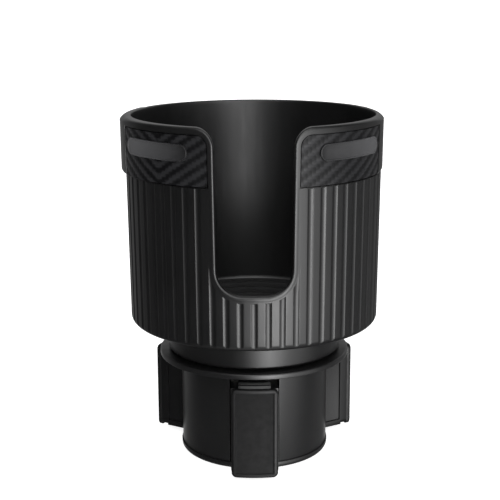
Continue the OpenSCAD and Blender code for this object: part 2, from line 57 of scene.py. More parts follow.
# Gaps in millimetres below which the vertices of a new piece and of a copied node merge
MERGE_GAP = 0.0005
NODE_GAP = 0.001
Point = tuple[float, float]
Outline = list[Point]
Colour = tuple[float, float, float]
Values = np.ndarray | float


def node_box(node: str) -> tuple[list[float], list[float]]:
    """Lowest and highest corner of a frame node, in millimetres."""
    low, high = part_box(node)
    return [float(v) / MM for v in low], [float(v) / MM for v in high]


def arc(centre: Point, radius: float, start: float, end: float, steps: int) -> Outline:
    """Points along an arc, both ends included.

    Args:
        centre: Centre of the arc.
        radius: Radius.
        start: Angle of the first point, in degrees from the first axis.
        end: Angle of the last point.
        steps: Number of straight steps.

    Returns:
        The points, in order.
    """
    turn = [math.radians(start + (end - start) * i / steps) for i in range(steps + 1)]
    return [(centre[0] + radius * math.cos(t), centre[1] + radius * math.sin(t)) for t in turn]


def quarter(steps: int) -> list[float]:
    """Angles of a quarter turn in radians, both ends included."""
    return [math.radians(90 * k / steps) for k in range(steps + 1)]


def ramp(value: Values, start: float, end: float) -> Values:
    """Runs straight from 0 at the start to 1 at the end, and stays level past both."""
    return np.clip((value - start) / (end - start), 0.0, 1.0)


class Bench:
    """The modelling operators that all pieces are made with, in millimetres."""

    @staticmethod
    def pick(*objects: bpy.types.Object) -> None:
        """Selects only these objects and makes the first one active."""
        bpy.ops.object.select_all(action="DESELECT")
        for obj in objects:
            obj.select_set(True)
        bpy.context.view_layer.objects.active = objects[0]

    @staticmethod
    def edit(obj: bpy.types.Object, select: str = "SELECT") -> None:
        """Opens an object in edit mode.

        Args:
            obj: The object.
            select: "SELECT" to start with all of it selected, "DESELECT" with none of it.
        """
        Bench.pick(obj)
        bpy.ops.object.mode_set(mode="EDIT")
        bpy.ops.mesh.select_mode(type="VERT")
        bpy.ops.mesh.select_all(action=select)

    @staticmethod
    def done() -> None:
        """Leaves edit mode."""
        bpy.ops.object.mode_set(mode="OBJECT")

    @staticmethod
    def start(name: str, add: Callable[..., object], **options: object) -> bpy.types.Object:
        """Adds a primitive with nothing else selected, and names it."""
        bpy.ops.object.select_all(action="DESELECT")
        add(**options)
        bpy.context.object.name = name
        return bpy.context.object

    @staticmethod
    def places(obj: bpy.types.Object) -> np.ndarray:
        """Places of an object's vertices, one row each."""
        flat = np.empty(len(obj.data.vertices) * 3, np.float32)
        obj.data.vertices.foreach_get("co", flat)
        return flat.reshape(-1, 3)

    @staticmethod
    def move(obj: bpy.types.Object, places: np.ndarray) -> None:
        """Moves an object's vertices to places, one row each."""
        obj.data.vertices.foreach_set("co", places.astype(np.float32).ravel())
        obj.data.update()

    @staticmethod
    def mark(obj: bpy.types.Object, attribute: str, values: np.ndarray) -> None:
        """Stores a number at each of an object's vertices."""
        layer = obj.data.attributes.new(attribute, "FLOAT", "POINT")
        layer.data.foreach_set("value", values.astype(np.float32))

    @staticmethod
    def ring(name: str, points: Sequence[Sequence[float]]) -> bpy.types.Object:
        """Adds a circle and moves its vertices onto a closed outline in space."""
        obj = Bench.start(name, bpy.ops.mesh.primitive_circle_add, vertices=len(points), radius=1.0)
        Bench.move(obj, np.array(points))
        return obj

    @staticmethod
    def sheet(name: str, cols: int, rows: int,
              place: Callable[[np.ndarray, np.ndarray], np.ndarray]) -> bpy.types.Object:
        """Adds a grid and lays its vertices out by a rule.

        Args:
            name: Name of the new object.
            cols: Number of faces across.
            rows: Number of faces up.
            place: Takes each vertex's column and row and gives its place.

        Returns:
            The object.
        """
        obj = Bench.start(name, bpy.ops.mesh.primitive_grid_add, x_subdivisions=cols, y_subdivisions=rows,
                          size=2.0)
        grid = (Bench.places(obj)[:, :2] + 1.0) / 2.0
        col = np.rint(grid[:, 0] * cols).astype(int)
        row = np.rint(grid[:, 1] * rows).astype(int)
        Bench.move(obj, place(col, row))
        return obj

    @staticmethod
    def close(obj: bpy.types.Object) -> None:
        """Merges the vertices that meet at seams and poles, and turns all faces outwards."""
        Bench.edit(obj)
        bpy.ops.mesh.remove_doubles(threshold=MERGE_GAP)
        bpy.ops.mesh.dissolve_degenerate(threshold=MERGE_GAP)
        bpy.ops.mesh.select_all(action="SELECT")
        bpy.ops.mesh.normals_make_consistent(inside=False)
        Bench.done()

    @staticmethod
    def spun(name: str, outline: Outline, steps: int) -> bpy.types.Object:
        """Spins a closed outline about the upright axis.

        Args:
            name: Name of the new object.
            outline: Radius and height of each point.
            steps: Steps of the spin.

        Returns:
            The closed object.
        """
        obj = Bench.ring(name, [(0.0, -r, z) for r, z in outline])
        Bench.edit(obj)
        bpy.ops.mesh.spin(steps=steps, angle=2 * math.pi, center=(0, 0, 0), axis=(0, 0, 1))
        Bench.done()
        Bench.close(obj)
        return obj

    @staticmethod
    def prism(name: str, outline: Outline, y0: float, y1: float) -> bpy.types.Object:
        """Extrudes a front view from one depth to another.

        Args:
            name: Name of the new object.
            outline: Points across and up.
            y0: Depth of the front face.
            y1: Depth of the back face.

        Returns:
            The closed object.
        """
        obj = Bench.ring(name, [(x, y0, z) for x, z in outline])
        Bench.edit(obj)
        bpy.ops.mesh.edge_face_add()
        bpy.ops.mesh.extrude_region_move(TRANSFORM_OT_translate={"value": (0, y1 - y0, 0)})
        Bench.done()
        Bench.close(obj)
        return obj

    @staticmethod
    def apply(obj: bpy.types.Object, kind: str, **settings: object) -> None:
        """Adds a modifier with these settings and applies it."""
        modifier = obj.modifiers.new("shaping", kind)
        for key, value in settings.items():
            setattr(modifier, key, value)
        Bench.pick(obj)
        bpy.ops.object.modifier_apply(modifier=modifier.name)

    @staticmethod
    def cut(obj: bpy.types.Object, tool: bpy.types.Object) -> None:
        """Cuts a solid with another one, which is used up."""
        Bench.apply(obj, "BOOLEAN", operation="DIFFERENCE", solver="EXACT", object=tool)
        bpy.data.objects.remove(tool)

    @staticmethod
    def bevel(obj: bpy.types.Object, width: float, segments: int, angle: float) -> None:
        """Rounds every edge that is sharper than an angle.

        Args:
            obj: The object.
            width: Width of the rounding.
            segments: Steps across it.
            angle: Least angle between two faces, in degrees.
        """
        Bench.apply(obj, "BEVEL", width=width, segments=segments, limit_method="ANGLE",
                    angle_limit=math.radians(angle), use_clamp_overlap=True)

    @staticmethod
    def copy_node(node: str, name: str) -> bpy.types.Object:
        """Copies a frame node's mesh in millimetres, merged and with its flat faces made whole.

        Args:
            node: Name of the frame node.
            name: Name of the copy.

        Returns:
            The copy.
        """
        obj = bpy.data.objects.new(name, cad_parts[node].data.copy())
        bpy.context.scene.collection.objects.link(obj)
        obj.data.transform(Matrix.Scale(1.0 / MM, 4))
        if obj.data.has_custom_normals:
            Bench.pick(obj)
            bpy.ops.mesh.customdata_custom_splitnormals_clear()
        Bench.edit(obj)
        bpy.ops.mesh.remove_doubles(threshold=NODE_GAP)
        bpy.ops.mesh.mark_sharp(clear=True)
        bpy.ops.mesh.dissolve_limited(angle_limit=math.radians(1.0))
        Bench.done()
        return obj


class Body(Enum):
    """Bodies of the frame that pieces ride on."""

    BASE = "base"
    CUP = "cup"
    FRONT_JAW = "front_jaw"
    RIGHT_JAW = "right_jaw"
    LEFT_JAW = "left_jaw"


# Azimuths of the jaws and their windows, in degrees from the front, positive to the right
JAW_AZIMUTHS = {Body.FRONT_JAW: 0.0, Body.RIGHT_JAW: 120.0, Body.LEFT_JAW: -120.0}


class Slot(Enum):
    """Names of four material slots."""

    MOULD = "mould_black"
    WEAVE = "trim_weave"
    BADGE = "badge_satin"
    RUBBER = "rubber_black"


class Side(Enum):
    """The two sides of the cup, and the sign of their azimuths."""

    LEFT = -1
    RIGHT = 1


class Nodes:
    """A node tree, with short ways to add to it."""

    def __init__(self, tree: bpy.types.NodeTree) -> None:
        """Takes a node tree and empties it."""
        self.tree = tree
        self.tree.nodes.clear()

    def add(self, kind: str, **values: object) -> bpy.types.Node:
        """Adds a node and sets its properties."""
        node = self.tree.nodes.new(kind)
        for key, value in values.items():
            setattr(node, key, value)
        return node

    def feed(self, target: bpy.types.NodeSocket, value: object) -> None:
        """Links a socket to an input, or sets the input to a plain value."""
        if isinstance(value, bpy.types.NodeSocket):
            self.tree.links.new(value, target)
        else:
            target.default_value = value

    def feed_all(self, node: bpy.types.Node, *values: object) -> bpy.types.Node:
        """Feeds a node's first inputs in their order and gives the node."""
        for target, value in zip(node.inputs, values):
            self.feed(target, value)
        return node

    def work_out(self, operation: str, *values: object) -> bpy.types.NodeSocket:
        """Works out a number from sockets and plain numbers."""
        return self.feed_all(self.add("ShaderNodeMath", operation=operation), *values).outputs[0]


class Graph(Nodes):
    """A material's node graph round one shader, with patterns on the piece's own coordinates."""

    def __init__(self, name: str, specular: float) -> None:
        """Starts a material with only its output and its shader.

        Args:
            name: Name of the material.
            specular: Strength of the reflection.
        """
        self.material = bpy.data.materials.new(name)
        self.material.use_nodes = True
        super().__init__(self.material.node_tree)
        self.shader = self.add("ShaderNodeBsdfPrincipled")
        self.feed_all(self.add("ShaderNodeOutputMaterial"), self.shader.outputs["BSDF"])
        self.set("Specular IOR Level", specular)
        self.place = self.add("ShaderNodeTexCoord").outputs["Object"]

    def set(self, name: str, value: object) -> None:
        """Feeds one of the shader's inputs."""
        self.feed(self.shader.inputs[name], value)

    def finish(self, colour: bpy.types.NodeSocket, rough: bpy.types.NodeSocket,
               normal: bpy.types.NodeSocket) -> bpy.types.Material:
        """Feeds the shader's colour, roughness and normal and gives the material."""
        self.set("Base Color", colour)
        self.set("Roughness", rough)
        self.set("Normal", normal)
        return self.material

    def attribute(self, name: str) -> bpy.types.NodeSocket:
        """Reads a number that is stored on the piece."""
        return self.add("ShaderNodeAttribute", attribute_name=name).outputs["Fac"]

    def noise(self, scale: float, detail: float = 3.0, rough: float = 0.55,
              stretch: tuple[float, float, float] = (1.0, 1.0, 1.0)) -> bpy.types.NodeSocket:
        """A noise on the piece's own coordinates.

        Args:
            scale: Cycles in a metre.
            detail: Octaves.
            rough: Weight of the finer octaves.
            stretch: Scale of each axis.

        Returns:
            The noise's value.
        """
        mapping = self.add("ShaderNodeMapping")
        self.feed(mapping.inputs["Vector"], self.place)
        self.feed(mapping.inputs["Scale"], stretch)
        node = self.add("ShaderNodeTexNoise")
        self.feed(node.inputs["Vector"], mapping.outputs["Vector"])
        self.feed(node.inputs["Scale"], scale)
        self.feed(node.inputs["Detail"], detail)
        self.feed(node.inputs["Roughness"], rough)
        return node.outputs["Fac"]

    def span(self, value: bpy.types.NodeSocket, low: float, high: float,
             start: float = 0.3, end: float = 0.7) -> bpy.types.NodeSocket:
        """Maps a value's middle range onto two numbers.

        Args:
            value: The value.
            low: Result at the start of the range.
            high: Result at its end.
            start: Where the range starts.
            end: Where it ends.

        Returns:
            The mapped value.
        """
        return self.feed_all(self.add("ShaderNodeMapRange"), value, start, end, low, high).outputs["Result"]

    def blend(self, factor: bpy.types.NodeSocket, first: Colour, second: Colour) -> bpy.types.NodeSocket:
        """Blends two colours.

        Args:
            factor: Share of the second colour.
            first: Colour at 0.
            second: Colour at 1.

        Returns:
            The blended colour.
        """
        node = self.add("ShaderNodeMix", data_type="RGBA")
        self.feed(node.inputs[0], factor)
        self.feed(node.inputs[6], (*first, 1.0))
        self.feed(node.inputs[7], (*second, 1.0))
        return node.outputs[2]

    def smooth_edge(self, rough: bpy.types.NodeSocket, less: float) -> bpy.types.NodeSocket:
        """Lowers a roughness on a plate's raised edge."""
        return self.work_out("MULTIPLY_ADD", self.attribute(EDGE_ATTRIBUTE), -less, rough)

    def bump(self, height: bpy.types.NodeSocket, distance: float, strength: float = 1.0,
             under: bpy.types.NodeSocket | None = None) -> bpy.types.NodeSocket:
        """Turns a height into a normal.

        Args:
            height: The height, from 0 to 1.
            distance: Real height of 1, in metres.
            strength: Share of it that shows.
            under: Normal that this one lies on.

        Returns:
            The normal.
        """
        node = self.add("ShaderNodeBump")
        self.feed(node.inputs["Height"], height)
        self.feed(node.inputs["Distance"], distance)
        self.feed(node.inputs["Strength"], strength)
        if under is not None:
            self.feed(node.inputs["Normal"], under)
        return node.outputs["Normal"]


@dataclass(frozen=True)
class Finish:
    """What all the finishes have.

    Attributes:
        name: Name of the material.
        first: Colour at one end of its range.
        second: Colour at the other end.
        gloss: Roughness of the smoothest spots.
        matt: Roughness of the dullest spots.
        specular: Strength of the reflection.
        clouds: Cloudy spots in a metre.
        grain: Grains in a metre.
        grain_height: Height of the grain in metres.
    """

    name: str
    first: Colour
    second: Colour
    gloss: float = 0.36
    matt: float = 0.42
    specular: float = 0.5
    clouds: float = 55.0
    grain: float = 2600.0
    grain_height: float = 0.00001


@dataclass(frozen=True)
class MouldedPlastic(Finish):
    """Satin moulded plastic with a fine spark-eroded grain and faint flow marks.

    Attributes:
        flow: Flow marks in a metre.
        cloud_height: Height of the clouds in metres.
    """

    flow: float = 260.0
    cloud_height: float = 0.00002

    def material(self) -> bpy.types.Material:
        """The finished material."""
        g = Graph(self.name, self.specular)
        cloud = g.noise(self.clouds, detail=4.0)
        flow = g.noise(self.flow, detail=2.0, stretch=(1.0, 1.0, 0.25))
        fine = g.bump(g.noise(self.grain, detail=2.0), self.grain_height)
        return g.finish(g.blend(g.span(cloud, 0.0, 1.0), self.first, self.second),
                        g.span(flow, self.gloss, self.matt), g.bump(cloud, self.cloud_height, 0.4, fine))


@dataclass(frozen=True)
class SatinCoating(Finish):
    """Satin coating of the bars, painted a little lighter towards their outer ends: a painted sheen where the
    side light falls on them.

    Attributes:
        start: Distance from the middle plane where the colour starts to change, in metres.
        end: Distance where it is the second colour.
        wander: How far the clouds move that change.
        edge_less: How much less rough the raised edge is.
    """

    gloss: float = 0.38
    matt: float = 0.46
    specular: float = 0.34
    clouds: float = 240.0
    grain: float = 3200.0
    grain_height: float = 0.000005
    start: float = 0.025
    end: float = 0.046
    wander: float = 0.004
    edge_less: float = 0.14

    def material(self) -> bpy.types.Material:
        """The finished material."""
        g = Graph(self.name, self.specular)
        parts = g.feed_all(g.add("ShaderNodeSeparateXYZ"), g.place)
        away = g.work_out("ABSOLUTE", parts.outputs["X"])
        cloud = g.noise(self.clouds, detail=4.0)
        # Painted sheen: the colour grows lighter with distance from the middle plane, towards the bars' outer
        # ends.
        sheen_reach = g.work_out("MULTIPLY_ADD", cloud, self.wander, away)
        share = g.span(sheen_reach, 0.0, 1.0, self.start, self.end)
        return g.finish(g.blend(share, self.first, self.second),
                        g.smooth_edge(g.span(cloud, self.gloss, self.matt), self.edge_less),
                        g.bump(g.noise(self.grain, detail=2.0), self.grain_height))


@dataclass(frozen=True)
class WovenTrim(Finish):
    """Moulded twill weave of fine threads, which are its grain.

    The first colour and the matt roughness are those of the floats that run up the cup, the second colour and
    the gloss those of the floats that run round it.

    Attributes:
        drift: How far the clouds shift the colour.
    """

    gloss: float = 0.36
    matt: float = 0.52
    specular: float = 0.26
    clouds: float = 300.0
    grain: float = 5200.0
    grain_height: float = 0.00003
    drift: float = 0.15

    def material(self) -> bpy.types.Material:
        """The finished material."""
        g = Graph(self.name, self.specular)
        side = g.attribute(WEAVE_ATTRIBUTE)
        drift = g.span(g.noise(self.clouds), -self.drift, self.drift)
        threads = g.noise(self.grain, detail=1.0, stretch=(1.0, 1.0, 0.3))
        return g.finish(g.blend(g.work_out("ADD", drift, side), self.first, self.second),
                        g.span(side, self.matt, self.gloss, 0.0, 1.0),
                        g.bump(threads, self.grain_height, 0.6))


@dataclass(frozen=True)
class Rubber(Finish):
    """Dull rubber with a faint bloom and a fine stipple, smoother on raised edges.

    Attributes:
        spots: Duller and smoother spots in a metre.
        edge_less: How much less rough a raised edge is.
    """

    gloss: float = 0.7
    matt: float = 0.8
    specular: float = 0.33
    clouds: float = 120.0
    grain: float = 3000.0
    grain_height: float = 0.00002
    spots: float = 420.0
    edge_less: float = 0.26

    def material(self) -> bpy.types.Material:
        """The finished material."""
        g = Graph(self.name, self.specular)
        cloud = g.noise(self.clouds, detail=5.0, rough=0.65)
        return g.finish(g.blend(g.span(cloud, 0.0, 1.0), self.first, self.second),
                        g.smooth_edge(g.span(g.noise(self.spots), self.gloss, self.matt), self.edge_less),
                        g.bump(g.noise(self.grain, detail=2.0), self.grain_height))


@dataclass(frozen=True)
class TurnedSteel(Finish):
    """Bright zinc-plated steel, in places dull, with fine turning lines as its grain."""

    gloss: float = 0.24
    clouds: float = 700.0
    grain: float = 900.0

    def material(self) -> bpy.types.Material:
        """The finished material."""
        g = Graph(self.name, self.specular)
        g.set("Metallic", 1.0)
        cloud = g.noise(self.clouds, detail=4.0)
        return g.finish(g.blend(g.span(cloud, 0.0, 1.0), self.first, self.second),
                        g.span(cloud, self.gloss, self.matt),
                        g.bump(g.noise(self.grain, stretch=(1.0, 1.0, 9.0)), self.grain_height))


class Finishes:
    """All the finishes of the cup holder."""

    def __init__(self) -> None:
        """Mixes every finish."""
        self.shell = MouldedPlastic("moulded_shell", (0.0035, 0.0035, 0.0037), (0.0055, 0.0055, 0.0058),
                                    matt=0.41).material()
        self.base = MouldedPlastic("moulded_base", (0.006, 0.006, 0.0063), (0.0085, 0.0085, 0.0089),
                                   gloss=0.32, matt=0.38).material()
        self.jaw = MouldedPlastic("moulded_jaw", (0.003, 0.003, 0.0033), (0.0045, 0.0045, 0.0048),
                                  specular=0.4).material()
        self.weave = WovenTrim("moulded_weave", (0.0015, 0.0015, 0.002), (0.016, 0.016, 0.0175)).material()
        # The bars' lighter second colour is a painted sheen on their outer ends.
        self.badge = SatinCoating("satin_badge", (0.006, 0.006, 0.0065), (0.066, 0.066, 0.069)).material()
        self.pad = Rubber("pad_rubber", (0.0025, 0.0025, 0.0027), (0.003, 0.003, 0.0032)).material()
        self.mat = Rubber("mat_rubber", (0.012, 0.012, 0.012), (0.020, 0.020, 0.0205)).material()
        self.acetal = MouldedPlastic("acetal", (0.66, 0.66, 0.63), (0.74, 0.74, 0.71),
                                     gloss=0.34, grain=1500.0).material()
        self.steel = TurnedSteel("plated_steel", (0.60, 0.60, 0.61), (0.42, 0.42, 0.43)).material()


def finish_piece(obj: bpy.types.Object, material: bpy.types.Material, body: Body,
                 node: str, angle: float) -> None:
    """Brings a finished piece to metres, dresses it and puts it on its body.

    Args:
        obj: The piece, in millimetres.
        material: Its finish.
        body: The body it rides on.
        node: Frame node that it stands for.
        angle: Angle in degrees above which an edge stays sharp.
    """
    obj.data.transform(Matrix.Scale(MM, 4))
    Bench.pick(obj)
    bpy.ops.object.shade_smooth_by_angle(angle=math.radians(angle))
    obj.data.materials.clear()
    obj.data.materials.append(material)
    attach(obj, body.value)
    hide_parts(node)
    LOG.info("%s: %d faces on %s", obj.name, len(obj.data.polygons), body.value)


def dress_nodes(material: bpy.types.Material, *nodes: str) -> None:
    """Gives frame nodes that stay in view their finish.

    Args:
        material: The finish.
        nodes: Names of the nodes.
    """
    for node in nodes:
        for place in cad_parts[node].material_slots:
            place.link = "OBJECT"
            place.material = material
        LOG.info("%s: frame node dressed", node)


@dataclass(frozen=True)
class CupForm:
    """Form of the cup's wall in millimetres. Azimuths are in degrees from the front, positive to the right.

    Attributes:
        z_low: Height of the underside.
        z_rim: Height of the rim.
        rim_r: Radius of the wall at the rim.
        foot_r: Radius of the wall at its lower edge.
        wall_t: Thickness of the wall.
        floor_t: Thickness of the floor.
        foot_round: Rounding between the wall and the underside.
        inner_round: Rounding between the wall and the floor inside.
        pad_drop: Height of the side pads.
        flush_az: Azimuth at which the side pads come flush with the wall.
        pad_end_az: Azimuth at which they end.
        pad_run: Run over which they come down to the wall there.
        left_lift: How far the left one stands proud at the side.
        right_lift: How far the right one stands proud at the side.
        pad_round: Rounding of their lower edge.
        sill: Height of the slot's sill above the underside.
        slot_low: Half the slot's width above its lower corners.
        slot_top: Half the slot's width below its flared upper corners.
        slot_round: Radius of its lower corners.
        slot_flare: Radius of its flared upper corners.
        border: Width of the smooth border round it.
        rim_band: Height of the plain band above the trim.
        trim_az: Azimuth at which the trim panels end.
        recess: Depth of the pockets that take them.
    """

    z_low: float
    z_rim: float
    rim_r: float
    foot_r: float = 49.51
    wall_t: float = 2.6
    floor_t: float = 2.6
    foot_round: float = 2.6
    inner_round: float = 2.4
    pad_drop: float = 21.8
    flush_az: float = 20.5
    pad_end_az: float = 115.0
    pad_run: float = 1.3
    left_lift: float = 1.7
    right_lift: float = 0.5
    pad_round: float = 1.3
    sill: float = 21.2
    slot_low: float = 13.9
    slot_top: float = 14.4
    slot_round: float = 9.5
    slot_flare: float = 7.2
    border: float = 2.2
    rim_band: float = 2.6
    trim_az: float = 70.0
    recess: float = 1.25

    @staticmethod
    def from_frame() -> "CupForm":
        """Takes the cup's heights and its rim from the frame."""
        low, high = node_box("cup_shell")
        return CupForm(z_low=low[2], z_rim=high[2], rim_r=high[1] - BORDER_PROUD)

    @property
    def z_pad(self) -> float:
        """Height of the side pads' lower edge."""
        return self.z_rim - self.pad_drop

    @property
    def z_face(self) -> float:
        """Height at which the side pads' lower rounding meets their face."""
        return self.z_pad + self.pad_round

    @property
    def corner(self) -> Point:
        """Centre of the slot's lower right corner."""
        return (self.slot_low - self.slot_round, self.z_low + self.sill + self.slot_round)

    @property
    def flare(self) -> Point:
        """Centre of the slot's flared upper right corner."""
        return (self.slot_top + self.slot_flare, self.z_rim - self.slot_flare)

    def wall_r(self, z: Values) -> Values:
        """Radius of the plain wall at a height."""
        return self.foot_r + (self.rim_r - self.foot_r) * (z - self.z_low) / (self.z_rim - self.z_low)

    def inner_r(self, z: Values) -> Values:
        """Radius of the wall's inside at a height."""
        return self.wall_r(z) - self.wall_t

    def outer_r(self, az: np.ndarray, z: Values) -> np.ndarray:
        """Radius of the outside, side pads included.

        Args:
            az: Azimuths.
            z: Heights.

        Returns:
            The radii.
        """
        wall = self.wall_r(z)
        turn = np.radians(az)
        flush = math.sin(math.radians(self.flush_az))
        side = np.where(az < 0, -1.0, 1.0)
        offset = np.where(az < 0, self.left_lift, self.right_lift) / (1.0 - flush)
        drop = np.clip((self.z_face - z) / self.pad_round, 0.0, 1.0)
        face = wall - offset * flush - self.pad_round * (1.0 - np.sqrt(1.0 - drop ** 2))
        proud = offset * side * np.sin(turn) + np.sqrt(face ** 2 - (offset * np.cos(turn)) ** 2)
        fade = np.clip((self.pad_end_az - np.abs(az)) / self.pad_run, 0.0, 1.0)
        lift = np.maximum(proud - wall, 0.0) * np.sqrt(1.0 - (1.0 - fade) ** 2)
        return wall + np.where((z >= self.z_pad) & (np.abs(az) > self.flush_az), lift, 0.0)

    def at(self, az: np.ndarray, r: np.ndarray, z: np.ndarray) -> np.ndarray:
        """Places in space of azimuths, radii and heights."""
        turn = np.radians(az)
        return np.stack([r * np.sin(turn), -r * np.cos(turn), z * np.ones_like(r)], axis=-1)


@dataclass(frozen=True)
class FluteForm:
    """Section of a flute in millimetres: a round-bottomed groove with eased lips.

    Attributes:
        count: Number of flutes round the cup.
        width: Width at the wall's surface.
        depth: Depth.
        lip: Rounding of the two lips.
        land: Distance of the next column on the plain wall beside them.
        stop: Distance of the upper ends below the side pads.
        border_gap: Distance of the upper ends from the slot's border.
        end: Length over which a flute runs out at its upper end.
        mean_r: Radius at which the section is laid out.
    """

    count: int = 60
    width: float = 2.4
    depth: float = 0.34
    lip: float = 0.2
    land: float = 0.5
    stop: float = 0.15
    border_gap: float = 0.25
    end: float = 0.4
    mean_r: float = 50.0

    @property
    def radius(self) -> float:
        """Radius of the groove."""
        return (self.width ** 2 / 4 + self.depth ** 2) / (2 * self.depth)

    @property
    def lip_x(self) -> float:
        """Distance from the groove's middle to where its lip meets the wall."""
        centre = self.radius - self.depth + self.lip
        return math.sqrt((self.radius + self.lip) ** 2 - centre ** 2)

    @property
    def tangent_x(self) -> float:
        """Distance from the groove's middle to where it meets its lip."""
        return self.lip_x * self.radius / (self.radius + self.lip)

    def depth_at(self, x: np.ndarray) -> np.ndarray:
        """Depth of the section at a distance from its middle."""
        x = np.abs(x)
        groove = np.sqrt(np.maximum(self.radius ** 2 - x ** 2, 0.0)) - (self.radius - self.depth)
        lip = self.lip - np.sqrt(np.maximum(self.lip ** 2 - (self.lip_x - x) ** 2, 0.0))
        return np.where(x < self.tangent_x, groove, np.where(x < self.lip_x, lip, 0.0))

    def columns(self) -> np.ndarray:
        """Azimuths of the wall's columns: close together on the lips and in the grooves, few on the lands."""
        reach = math.asin(self.tangent_x / self.radius)
        groove = [self.radius * math.sin(reach * k / 5) for k in range(6)]
        lip = [self.lip_x - (self.lip_x - self.tangent_x) * math.sin(math.radians(a)) for a in (55, 25, 0)]
        half = groove + lip + [self.lip_x + self.land]
        section = sorted([-x for x in half if x > 0] + half)
        pitch = 360.0 / self.count
        turns = [i * pitch + math.degrees(x / self.mean_r) for i in range(self.count) for x in section]
        return np.array([(t + 180.0) % 360.0 - 180.0 for t in turns])


@dataclass(frozen=True)
class BorderLine:
    """One line of the smooth border's section, followed all round.

    Attributes:
        inner: Whether it is measured from the wall's inside.
        share: Share of the border's width at which it lies.
        across: Distance from the edge on top of that.
        sink: Depth below the face.
    """

    inner: bool
    share: float
    across: Values = 0.0
    sink: Values = 0.0


